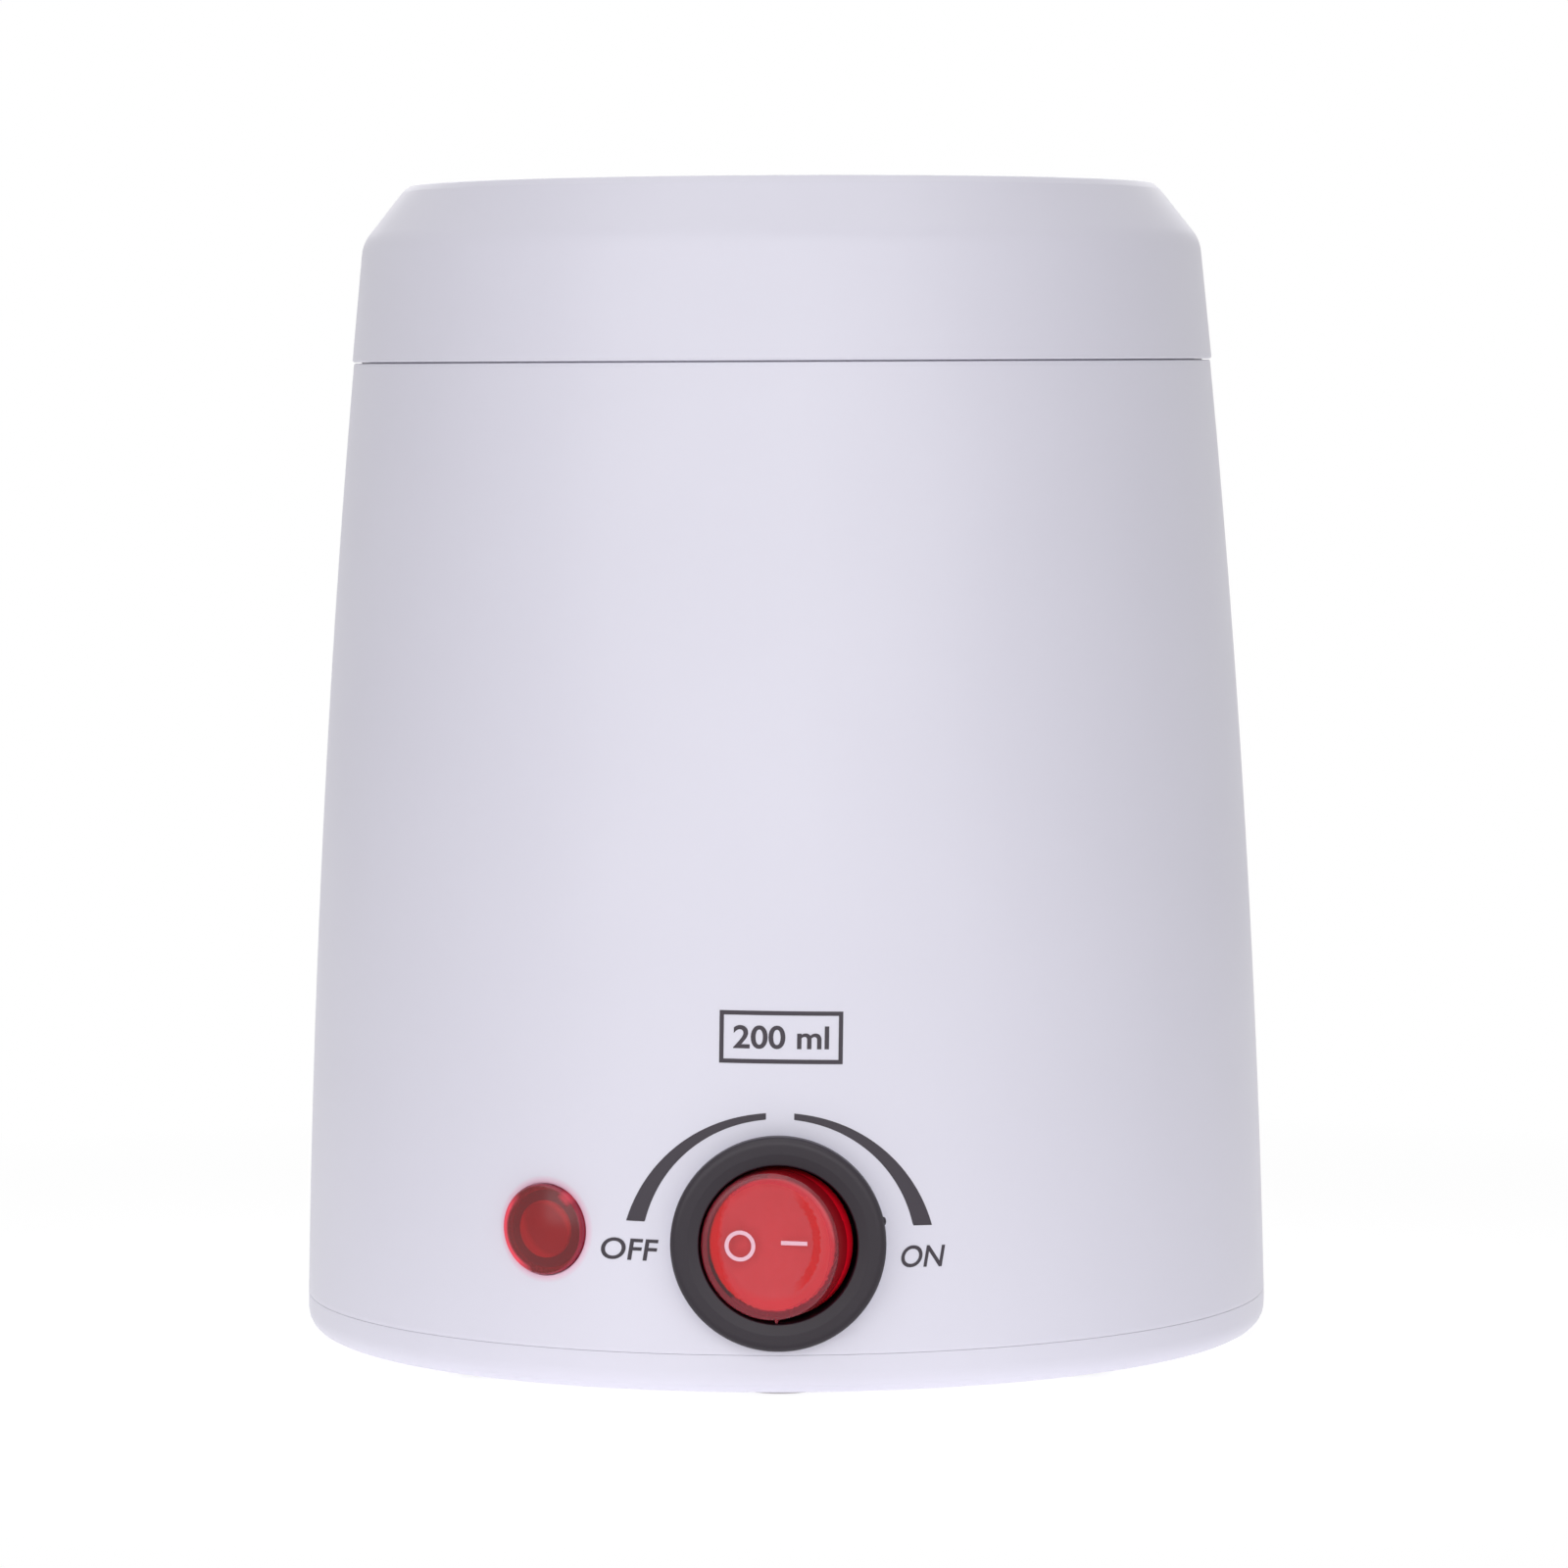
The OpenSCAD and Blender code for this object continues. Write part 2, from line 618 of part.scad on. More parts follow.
module heater_band() color(mica_grey) lifted() rotate(seam_turn)
    ring(band_r, band_r + band_t, band_z, band_z + band_h, band_slot);

module insulation_sleeve() color(fibre_white) lifted() rotate(seam_turn)
    ring(sleeve_r, sleeve_r + sleeve_t, sleeve_z, sleeve_z + sleeve_h, sleeve_slot);

// Where the strap's two ears stand, either side of its slot, and where they leave the strap
ear_off = (strap_r + strap_t / 2) * sin(strap_slot / 2) + 0.3;
ear_bite = strap_t * 0.45;
module band_clamp() color(zinc_steel) lifted() rotate(seam_turn) difference() {
    union() {
        ring(strap_r, strap_r + strap_t, strap_z - strap_h / 2, strap_z + strap_h / 2, strap_slot);
        for (s = [-1, 1])
            translate([strap_r + ear_bite, s * (ear_off + strap_t / 2) - strap_t / 2, strap_z - strap_h / 2])
            cube([clamp_ear_l - ear_bite, strap_t, strap_h]);
    }
    translate([clamp_bolt_r, 0, strap_z]) rotate([90, 0, 0])
        cylinder(d = clamp_bolt_d + 0.4, h = 30, center = true);
}
clamp_out = ear_off + strap_t;
module clamp_bolt() color(zinc_steel) lifted() rotate(seam_turn)
    translate([clamp_bolt_r, -clamp_out, strap_z]) rotate([-90, 0, 0]) {
        translate([0, 0, -2]) cylinder(d = clamp_head_d, h = 2);
        cylinder(d = clamp_bolt_d, h = 2 * clamp_out + 4);
    }
module clamp_nut() color(zinc_steel) lifted() rotate(seam_turn)
    translate([clamp_bolt_r, clamp_out, strap_z]) rotate([-90, 0, 0]) difference() {
        rotate(30) cylinder(d = clamp_nut_d, h = 2.4, $fn = 6);
        translate([0, 0, -1]) cylinder(d = clamp_bolt_d + 0.1, h = 5);
    }

module thermostat_cap() color(bare_aluminium) lifted() rotate_extrude()
    polygon(rounded([[0, cap_under_z, 0], [cap_d / 2, cap_under_z, 0], [cap_d / 2, cap_under_z + cap_h, 0.8],
        [0, cap_under_z + cap_h, 0]]));
cap_under_z = well_under_z - cap_h - rest_gap;
thermo_top_z = cap_under_z - rest_gap;
bracket_under_z = thermo_top_z - strap_t;
thermo_under_z = bracket_under_z - rest_gap - thermo_h;
module thermostat_bracket() color(zinc_steel) lifted() difference() {
    bracket_plate(bracket_under_z, strap_t);
    translate([0, 0, thermo_top_z - 2]) cylinder(d = thermo_d - 2 + 2 * slip_gap, h = 4);
    for (s = [-1, 1]) translate([s * pillar_x, 0, thermo_top_z - 2])
        cylinder(d = thermo_screw_d + 0.4, h = 4);
}
module bracket_plate(z, t) translate([0, 0, z]) {
    translate([-pillar_x, -4, 0]) cube([2 * pillar_x, 8, t]);
    for (s = [-1, 1]) translate([s * pillar_x, 0, 0]) cylinder(d = 8, h = t);
    cylinder(d = thermo_d + 2, h = t);
}
module thermostat_body() color(phenolic_black) lifted() difference() {
    union() {
        translate([0, 0, thermo_under_z]) cylinder(d = thermo_d, h = thermo_h);
        translate([0, 0, thermo_under_z + thermo_h - thin]) cylinder(d = thermo_d - 2, h = strap_t + thin);
    }
    for (s = [-1, 1]) translate([s * thermo_blade_x, 0, thermo_under_z + 0.5])
        cube([blade_t + 2 * rest_gap, thermo_blade_w + 2 * rest_gap, 4], center = true);
}
module thermostat_blades() color(brass_yellow) lifted() for (s = [-1, 1])
    translate([s * thermo_blade_x - blade_t / 2, -thermo_blade_w / 2, thermo_under_z - thermo_blade_l])
    difference() {
        cube([blade_t, thermo_blade_w, thermo_blade_l + 2.4]);
        translate([-1, thermo_blade_w / 2, 3.2]) rotate([0, 90, 0]) cylinder(d = 1.8, h = 3);
    }
module thermostat_screws() color(zinc_steel) lifted() for (s = [-1, 1])
    translate([s * pillar_x, 0, bracket_under_z - (s > 0 ? tag_t : 0)])
    tapping_screw(s > 0 ? 4.6 : 3.8, d = thermo_screw_d - 0.5, head_d = 5);
tag_z = bracket_under_z - tag_t / 2;
module earth_tag() color(brass_yellow) lifted()
    translate([pillar_x, 0, tag_z - tag_t / 2]) difference() {
        union() {
            cylinder(d = 7, h = tag_t);
            translate([0, -1.5, 0]) cube([9, 3, tag_t]);
            translate([8.5, 0, tag_t / 2]) rotate([0, 90, 0]) cylinder(d = 3, h = 5);
        }
        translate([0, 0, -1]) cylinder(d = thermo_screw_d + 0.4, h = 4);
        translate([9.5, 0, tag_t / 2]) rotate([0, 90, 0]) cylinder(d = lead_d + 2 * slip_gap, h = 6);
    }

module fuse_sleeve() color(fibre_white) lifted() translate([-fuse_sleeve_l / 2, fuse_y, fuse_z])
    rotate([0, 90, 0]) difference() {
        cylinder(d = fuse_sleeve_d, h = fuse_sleeve_l);
        translate([0, 0, -1]) cylinder(d = fuse_d + 2 * rest_gap, h = fuse_sleeve_l + 2);
    }
module thermal_fuse() color(brass_yellow) lifted() translate([0, fuse_y, fuse_z]) rotate([0, 90, 0]) {
    translate([0, 0, -fuse_l / 2]) cylinder(d = fuse_d, h = fuse_l);
    translate([0, 0, -fuse_l / 2 - 6]) cylinder(d = 1, h = fuse_l + 12);
}
module fuse_clip() color(zinc_steel) lifted() {
    translate([-4, fuse_y, fuse_z]) rotate([0, 90, 0]) rotate(-90) rotate_extrude(angle = 180)
        translate([fuse_sleeve_d / 2 + rest_gap, 0]) square([strap_t, 8]);
    difference() {
        translate([-4, fuse_pillar_y - 3.5, well_under_z - pillar_h - rest_gap - strap_t])
            cube([8, fuse_y - fuse_sleeve_d / 2 - fuse_pillar_y + 3.5, strap_t]);
        translate([fuse_pillar_x, fuse_pillar_y, well_under_z - pillar_h - 2])
            cylinder(d = thermo_screw_d + 0.4, h = 4);
    }
}
module fuse_clip_screw() color(zinc_steel) lifted()
    translate([fuse_pillar_x, fuse_pillar_y, well_under_z - pillar_h - rest_gap - strap_t])
    tapping_screw(3.8, d = thermo_screw_d - 0.5, head_d = 5);

module switch_housing() color(satin_black) lifted() difference() {
    union() {
        on_panel(panel_y) rotate_extrude() polygon(rounded([
            [0, 0, 0], [bezel_d / 2, 0, 0], [bezel_d / 2, bezel_t, bezel_round],
            [bezel_step_d / 2, bezel_t, 0.2], [opening_d / 2, bezel_t - bezel_slope, 0],
            [0, bezel_t - bezel_slope, 0]]));
        on_panel(panel_y + switch_depth) cylinder(d = switch_body_d, h = switch_depth + thin);
        // Snap wings that hold the panel from behind
        for (s = [-1, 1]) translate([-2.5, 0, switch_z]) scale([1, 1, s]) rotate([90, 0, 90])
            linear_extrude(5) polygon([[panel_back_y + 0.15, switch_body_d / 2 - 0.4],
                [panel_back_y + 0.15, switch_body_d / 2 + 0.9], [panel_back_y + 5, switch_body_d / 2 - 0.1],
                [panel_back_y + 5, switch_body_d / 2 - 0.4]]);
    }
    on_panel(switch_back_y - switch_floor)
        cylinder(d = opening_d, h = switch_depth - switch_floor + bezel_t + 1);
    // Blind bearings of the rocker's pivot
    translate([0, pivot_y, switch_z]) cylinder(d = pivot_d + 2 * pivot_gap,
        h = opening_d + 2 * (pivot_bite - 0.2), center = true);
    for (i = [-1:1]) translate([i * blade_pitch - blade_t / 2 - rest_gap, switch_back_y - switch_floor - 1,
        switch_z - blade_w / 2 - rest_gap])
        cube([blade_t + 2 * rest_gap, switch_floor + 2, blade_w + 2 * rest_gap]);
}

// The rocker is drawn level with +Z out of the panel, then laid in its off position
module as_off(tilt) translate([0, pivot_y, switch_z]) rotate(-tilt) rotate([90, 0, 0]) children();
face_dish = 0.45;
face_round = 0.6;
module switch_rocker() color(rocker_red) lifted() as_off(rocker_tilt) difference() {
    union() {
        rotate_extrude() polygon(rounded([[0, -rocker_skirt, 0], [skirt_d / 2, -rocker_skirt, 0.3],
            [rocker_d / 2, 0, 0.4], [face_d / 2, face_h, face_round], [0, face_h, 0]]));
        rotate([90, 0, 0]) cylinder(d = pivot_d, h = opening_d + 2 * (pivot_bite - 0.35), center = true);
    }
    // Shallow dish in the face
    translate([0, 0, face_h - face_dish + dish_r]) sphere(r = dish_r, $fn = 96);
    // Hollow behind the face, round the plunger's tube
    translate([0, 0, -rocker_skirt - 1]) difference() {
        cylinder(r = rocker_hollow_r, h = rocker_skirt + 1 + face_h - rocker_wall - face_dish);
        cylinder(r = plunger_tube_r, h = 20);
    }
    translate([0, 0, -rocker_skirt - 1])
        cylinder(d = plunger_bore_d, h = rocker_skirt + 1 + plunger_bore_top);
}
// Radius of the dish that is face_dish deep over the face
dish_half = face_d / 2 - face_round;
dish_r = (pow(dish_half, 2) + pow(face_dish, 2)) / (2 * face_dish);

module rocker_plunger() color(brass_yellow) lifted() as_off(rocker_tilt) {
    translate([0, 0, -plunger_reach + plunger_d / 2]) cylinder(d = plunger_d, h = plunger_l);
    translate([0, 0, -plunger_reach + plunger_d / 2]) sphere(d = plunger_d);
}

// Springs and leads are tubes swept along their points: a ring of corners at each point
function ring_at(p, along, side, r, n) =
    let (u = unit(side - (side * along) * along), w = cross(along, u))
    [for (k = [0:n - 1]) p + r * (cos(360 * k / n) * u + sin(360 * k / n) * w)];
function heading(pts, i) = unit(pts[min(i + 1, len(pts) - 1)] - pts[max(i - 1, 0)]);
// Each ring's side direction is the last one, turned no more than the path turns
function sides(pts, side, i = 0) = i == len(pts) ? [] :
    let (t = heading(pts, i), s = unit(side - (side * t) * t)) concat([s], sides(pts, s, i + 1));
module tube(pts, r, n = 8, side = [0.3, 0.2, 1]) {
    along = sides(pts, side);
    last = len(pts) - 1;
    polyhedron(
        points = [for (i = [0:last]) each ring_at(pts[i], heading(pts, i), along[i], r, n)],
        faces = concat(
            [[for (k = [0:n - 1]) k]],
            [for (i = [0:last - 1], k = [0:n - 1]) let (a = i * n, b = a + n, j = (k + 1) % n)
                each [[a + k, b + k, b + j], [a + k, b + j, a + j]]],
            [[for (k = [n - 1:-1:0]) last * n + k]]));
}
spring_turns = 5;
spring_ring = 8;
spring_wire_d = 0.3;
spring_low = -plunger_reach + plunger_d / 2 + plunger_l + spring_wire_d / 2 + rest_gap;
spring_high = plunger_bore_top - spring_wire_d / 2 - rest_gap;
module plunger_spring() color(zinc_steel) lifted() as_off(rocker_tilt)
    tube([for (i = [0:spring_turns * spring_ring]) let (t = i / (spring_turns * spring_ring))
        [0.85 * cos(360 * spring_turns * t), 0.85 * sin(360 * spring_turns * t),
         spring_low + (spring_high - spring_low) * t]], spring_wire_d / 2, 6, [0, 0, 1]);

// The lamp lies across the rocker's hollow, beside the plunger's tube; its ends keep off the wall
lamp_d = rocker_hollow_r - plunger_tube_r - lamp_play;
lamp_x = plunger_tube_r + lamp_gap + lamp_d / 2;
lamp_half = sqrt(pow(rocker_hollow_r - lamp_end_gap - lamp_d / 2, 2) - pow(lamp_x, 2));
module rocker_lamp() color(glass_clear) lifted() as_off(rocker_tilt)
    translate([lamp_x, 0, lamp_height]) rotate([90, 0, 0]) {
        cylinder(d = lamp_d, h = 2 * lamp_half, center = true);
        for (s = [-1, 1]) translate([0, 0, s * lamp_half]) sphere(d = lamp_d);
    }

module switch_blades() color(brass_yellow) lifted() {
    for (i = [-1:1]) difference() {
        translate([i * blade_pitch - blade_t / 2, blade_start(i), switch_z - blade_w / 2])
            cube([blade_t, blade_end_y - blade_start(i), blade_w]);
        translate([i * blade_pitch - 2, blade_end_y - 3, switch_z]) rotate([0, 90, 0])
            cylinder(d = 1.6, h = 4);
    }
    // Rounded edge that the contact lever rocks on
    translate([0, lever_y, switch_z]) cylinder(d = blade_t, h = blade_w, center = true);
    // Foot and fixed contact that the lever closes on
    translate([-blade_pitch - blade_t / 2, contact_y + contact_h, switch_z - blade_w / 2])
        cube([blade_pitch + blade_t / 2 - lever_half + 1.4, 0.8, blade_w]);
    translate([-lever_half + 0.7, contact_y, switch_z]) rotate([-90, 0, 0])
        cylinder(d = contact_d, h = contact_h + 0.2);
}
// Where the closed contact lies: the lever's tip at its full tilt, and a seat gap more
contact_y = lever_y + (lever_half - 0.7) * sin(lever_tilt) - lever_back * cos(lever_tilt) + contact_h
    + seat_gap + 0.15;
function blade_start(i) = i == 0 ? lever_y : i < 0 ? contact_y + contact_h : lever_y + 3;

module contact_lever() color(brass_yellow) lifted() translate([0, lever_y, switch_z]) rotate(lever_tilt)
    difference() {
        union() {
            translate([-lever_half, -lever_front, -lever_w / 2])
                cube([2 * lever_half, lever_front - lever_back, lever_w]);
            translate([-lever_half + 1, -lever_back - 0.2, 0]) rotate([-90, 0, 0])
                cylinder(d = contact_d - 0.2, h = contact_h + 0.2);
        }
        cylinder(d = blade_t + 2 * pivot_gap, h = 20, center = true);
    }

// A sleeved push-on connector, drawn from the blade's side at z = 0 to the lead's side
module spade(w, l, blade_in) difference() {
    translate([-2.4, -w / 2 - 1.2, 0]) cube([4.8, w + 2.4, l]);
    translate([-blade_t / 2 - rest_gap, -w / 2 - rest_gap, -1])
        cube([blade_t + 2 * rest_gap, w + 2 * rest_gap, blade_in + 1]);
    translate([0, 0, l - 5]) cylinder(d = lead_d + 2 * slip_gap, h = 6);
}
thermo_spade_l = 14;
thermo_spade_z = thermo_under_z - 1 - thermo_spade_l;
module spade_connectors() color(nylon_white) lifted() {
    for (i = [-1:1]) translate([i * blade_pitch, spade_y, switch_z]) rotate([-90, 0, 0])
        spade(blade_w, spade_l, blade_end_y - spade_y + 0.3);
    for (s = [-1, 1]) translate([s * thermo_blade_x, 0, thermo_under_z - 1]) rotate([180, 0, 0])
        spade(thermo_blade_w, thermo_spade_l, thermo_blade_l - 1 + 0.3);
}

module pilot_lens() color(lens_red) lifted() on_lamp(lens_seat) difference() {
    union() {
        rotate_extrude() polygon(concat([[0, 0], [lens_d / 2, 0], [lens_d / 2, lens_flange_t - lens_edge]],
            [for (i = [0:4]) let (x = (lens_d / 2 - lens_edge) * (1 - i / 4))
                [x, lens_flange_t + lens_dome * (1 - pow(x / (lens_d / 2 - lens_edge), 2))]]));
        translate([0, 0, -barrel_l]) cylinder(d = barrel_d, h = barrel_l + thin);
    }
    translate([0, 0, -barrel_l - 1]) cylinder(d = lens_bore_d, h = barrel_l);
}
module pilot_clip() color(zinc_steel) lifted() on_lamp(lamp_boss - rest_gap - 0.5)
    difference() {
        cylinder(d = lamp_boss_d - 2, h = 0.5);
        translate([0, 0, -1]) cylinder(d = barrel_d + 2 * rest_gap, h = 3);
    }
module pilot_bulb() color(glass_clear) lifted() on_lamp(lens_seat) {
    translate([0, 0, -1 - bulb_l]) cylinder(d = bulb_d, h = bulb_l - bulb_d / 2 - rest_gap);
    translate([0, 0, -1 - bulb_d / 2 - rest_gap]) sphere(d = bulb_d);
    // The leg that the resistor is joined to
    translate([resistor_x, 0, -resistor_end + resistor_l])
        cylinder(d = 0.6, h = resistor_end - resistor_l - bulb_l);
}
module pilot_resistor() color(fibre_white) lifted() on_lamp(lens_seat)
    translate([resistor_x, 0, -resistor_end]) cylinder(d = 2.4, h = resistor_l);

module cord_gland() color(satin_black) lifted() difference() {
    union() {
        on_rear(gland_y - 0.4 + rest_gap) cylinder(d = gland_d, h = gland_stand + 0.4 - rest_gap - 1);
        on_rear(gland_y + gland_stand - 1) cylinder(d1 = gland_d, d2 = gland_d - 2, h = 1);
        on_rear(gland_inner_y) cylinder(d = gland_neck_d, h = gland_y - gland_inner_y);
        on_rear(gland_inner_y - gland_inner_t) cylinder(d = gland_inner_d, h = gland_inner_t);
    }
    on_rear(gland_inner_y - gland_inner_t - 1) cylinder(d = gland_bore_d, h = 20);
}
gland_inner_y = gland_y - shell_wall - 1.4 - rest_gap;

module terminal_block() color(nylon_white) lifted() difference() {
    translate([-block_w / 2, block_y - block_l / 2, block_z]) union() {
        cube([block_w, block_l, block_body_h]);
        for (i = [0:poles - 1]) translate([i * pole_pitch + 0.6, 1, block_body_h - 1])
            cube([pole_pitch - 1.2, block_l - 2, block_h - block_body_h + 1]);
    }
    for (i = [0:poles - 1]) translate([(i - (poles - 1) / 2) * pole_pitch, block_y, 0]) {
        translate([0, 0, insert_z]) rotate([90, 0, 0])
            cylinder(d = insert_d + 2 * rest_gap, h = block_l + 2, center = true);
        for (s = [-1, 1]) translate([0, s * 4, insert_z]) cylinder(d = block_screw_d + 0.6, h = block_h);
    }
    translate([pole_pitch / 2, block_y, 0]) cylinder(d = 2.6, h = 30);
    translate([pole_pitch / 2, block_y, block_z + block_body_h]) cylinder(d = 4.6, h = 30);
}
module block_inserts() color(brass_yellow) lifted() for (i = [0:poles - 1])
    translate([(i - (poles - 1) / 2) * pole_pitch, block_y, insert_z]) difference() {
        rotate([90, 0, 0]) cylinder(d = insert_d, h = block_l - 2, center = true);
        rotate([90, 0, 0]) cylinder(d = insert_bore_d, h = block_l, center = true);
        for (s = [-1, 1]) translate([0, s * 4, 0]) cylinder(d = block_screw_d + 0.1, h = 5);
    }
module block_screws() color(zinc_steel) lifted() for (i = [0:poles - 1], s = [-1, 1])
    translate([(i - (poles - 1) / 2) * pole_pitch, block_y + s * 4, insert_z + 1]) difference() {
        cylinder(d = block_screw_d, h = block_h - 8);
        translate([-2, -0.3, block_h - 8.8]) cube([4, 0.6, 2]);
    }
module block_fixing_screw() color(zinc_steel) lifted()
    translate([pole_pitch / 2, block_y, block_z + block_body_h]) rotate([180, 0, 0])
    tapping_screw(9.6, d = 2.2, head_d = 4.2, head_h = 1.4);

// Leads: the sheath's diameter, and how many rings lie between two route points
lead_d = 1.9;
thin_lead_d = 1.3;
lead_steps = 3;
function blend(a, b, c, d, t) = 0.5 * (2 * b + (c - a) * t + (2 * a - 5 * b + 4 * c - d) * t * t
    + (3 * b - a - 3 * c + d) * t * t * t);
// A smooth route through all its points
function route(p) = let (n = len(p)) concat(
    [for (i = [0:n - 2], k = [0:lead_steps - 1])
        blend(p[max(i - 1, 0)], p[i], p[i + 1], p[min(i + 2, n - 1)], k / lead_steps)],
    [p[n - 1]]);
module lead(p, d = lead_d) tube(route(p), d / 2);

// Closed crimp caps join the leads left and right of the switch; leads enter them from below
cap_left = [-22, -6, 26];
cap_right = [22, -6, 26];
cap_outer_d = 7.4;
cap_bore_d = 5.6;
cap_slot = 1.2;
cap_l = 14;
cap_bore_l = 9;
// How far a lead runs straight before it bends
lead_run = 3;
function in_cap(c, sx, sy) = let (at = [c[0] + sx * cap_slot, c[1] + sy * cap_slot, c[2]])
    [at - [0, 0, lead_run], at, at + [0, 0, cap_bore_l - 1]];
function backwards(p) = [for (i = [len(p) - 1:-1:0]) p[i]];
// Ends at the block's front, at the switch's connectors, and at the thermostat's connectors
function at_block(pole) = let (at = [pole * pole_pitch, block_y - block_l / 2, insert_z])
    [at - [0, lead_run, 0], at, at + [0, 4, 0]];
function at_spade(i) = let (at = [i * blade_pitch, spade_y + spade_l, switch_z])
    [at - [0, 4, 0], at, at + [0, lead_run, 0]];
function at_thermostat(s) = let (at = [s * thermo_blade_x, 0, thermo_spade_z])
    [at + [0, 0, 4], at, at - [0, 0, lead_run]];
function at_fuse(s) = let (at = [s * (fuse_sleeve_l / 2 + splice_l), fuse_y, fuse_z])
    [at + [s * lead_run, 0, 0], at, at - [s * 4, 0, 0]];
heater_lead_r = band_r + band_t / 2 + 0.45;
function at_heater(a) = [for (z = [4, 2, 0.15])
    [heater_lead_r * cos(a), heater_lead_r * sin(a), band_z - z]];

module live_leads() color(lead_brown) lifted() {
    // Block to the switch's middle blade
    lead(concat(backwards(at_block(-1)), [[-7, 6, 9], [-3, -3, 12]], backwards(at_spade(0))));
    // Switch to the left cap
    lead(concat(at_spade(-1), [[-9, -8, 15], [-16, -3, 16]], in_cap(cap_left, 1, 1)));
    // Left cap to thermostat
    lead(concat(backwards(in_cap(cap_left, -1, -1)), [[-27, -8, 17], [-30, -6, 23],
        [-28, -1, thermo_spade_z - 5.5], [-19, 3, thermo_spade_z - 3.5], [-9, 1, thermo_spade_z - 6.5]],
        backwards(at_thermostat(-1))));
    // Thermostat to fuse
    lead(concat(at_thermostat(1), [[6, 3, thermo_spade_z - 8.5], [13, 8, thermo_spade_z - 4.5],
        [21, 13, thermo_spade_z + 3.5], [26, 18, fuse_z - 10.7], [24, 21, fuse_z - 3.7]], at_fuse(1)));
    // Fuse to heater band
    lead(concat(backwards(at_fuse(-1)), [[-24, 22, fuse_z - 0.2], [-30, 22, fuse_z + 1.8],
        [-33, 20.5, fuse_z + 4.3]], at_heater(150)));
}
module neutral_leads() color(lead_blue) lifted() {
    // Heater band to the right cap
    lead(concat(backwards(at_heater(30)),
        [[35, 18, well_under_z - 1.6], [34, 9, well_under_z - 15.6], [31, 1, 34], [30.5, -3, 22],
         [28, -4.5, 16.5], [24.5, -5, 18]],
        in_cap(cap_right, 1, 1)));
    // Right cap to the block
    lead(concat(backwards(in_cap(cap_right, -1, 1)), [[19.5, -2, 17], [15, 4, 12], [10, 9, 9.5]],
        at_block(1)));
    // Right cap to the switch
    lead(concat(backwards(in_cap(cap_right, -1, -1)), [[19, -9, 18], [12, -12, 16.5]],
        backwards(at_spade(1))));
}
module earth_lead() color(lead_green) lifted()
    lead(concat([for (x = [10, 13.5, 16]) [pillar_x + x, 0, tag_z]],
        [[30.5, 1, tag_z - 4.7], [28, 5, tag_z - 15.7], [22, 9, 28], [12, 12, 14], [4, 10, 9]],
        at_block(0)));
// Ends at the pilot lamp: inwards from its seat, and to one side
function at_lamp(depth, x) = let (r = lens_seat - depth)
    [-r * sin(lens_angle) + x * cos(lens_angle), -r * cos(lens_angle) - x * sin(lens_angle), lens_z];
module pilot_leads() color(lead_white) lifted() {
    // Resistor to the left cap
    lead(concat([for (d = [0.15, 2, 4]) at_lamp(resistor_end + d, resistor_x)],
        [[-13, -14, 17], [-18, -9, 18]], in_cap(cap_left, 1, -1)), thin_lead_d);
    // Bulb to the right cap
    lead(concat([for (d = [0.15, 3, 7]) at_lamp(bulb_l + 1 + d, -resistor_x)],
        [[-15, -22, 13], [-9, -13, 8], [0, -9, 6], [10, -10, 8], [20, -11, 14]],
        in_cap(cap_right, 1, -1)), thin_lead_d);
}
module crimp_caps() color(nylon_white) lifted() {
    for (c = [cap_left, cap_right]) translate(c) difference() {
        rotate_extrude() polygon(rounded([[0, 0, 0], [cap_outer_d / 2, 0, 0.4], [cap_outer_d / 2, cap_l, 2],
            [0, cap_l, 0]]));
        translate([0, 0, -1]) cylinder(d = cap_bore_d, h = cap_bore_l + 1);
    }
    // Splices on the fuse's two wires
    for (s = [0, 180]) translate([0, fuse_y, fuse_z]) rotate(s)
        translate([fuse_sleeve_l / 2, 0, 0]) rotate([0, 90, 0]) difference() {
            cylinder(d = splice_d, h = splice_l);
            translate([0, 0, -1]) cylinder(d = lead_d + 2 * slip_gap, h = splice_l + 2);
        }
}

module wax_pot() color(bare_aluminium) lifted() rotate_extrude() polygon(rounded([
    [0, pot_floor_z - pot_wall, 0],
    [pot_r - pot_draft, pot_floor_z - pot_wall, pot_bend],
    [pot_r, pot_sheet_z - pot_wall, 0.4],
    [pot_flange_r - 2 * bead_r, pot_sheet_z - pot_wall, 0],
    [pot_flange_r - 2 * bead_r, pot_flange_z, 0.7],
    [pot_flange_r, pot_flange_z, 0.7],
    [pot_flange_r, pot_sheet_z, 0.7],
    [pot_r - pot_wall, pot_sheet_z, 0.8],
    [pot_r - pot_wall - pot_draft, pot_floor_z, pot_bend - pot_wall],
    [0, pot_floor_z, 0]]));

lug_x = pot_r - 0.2;
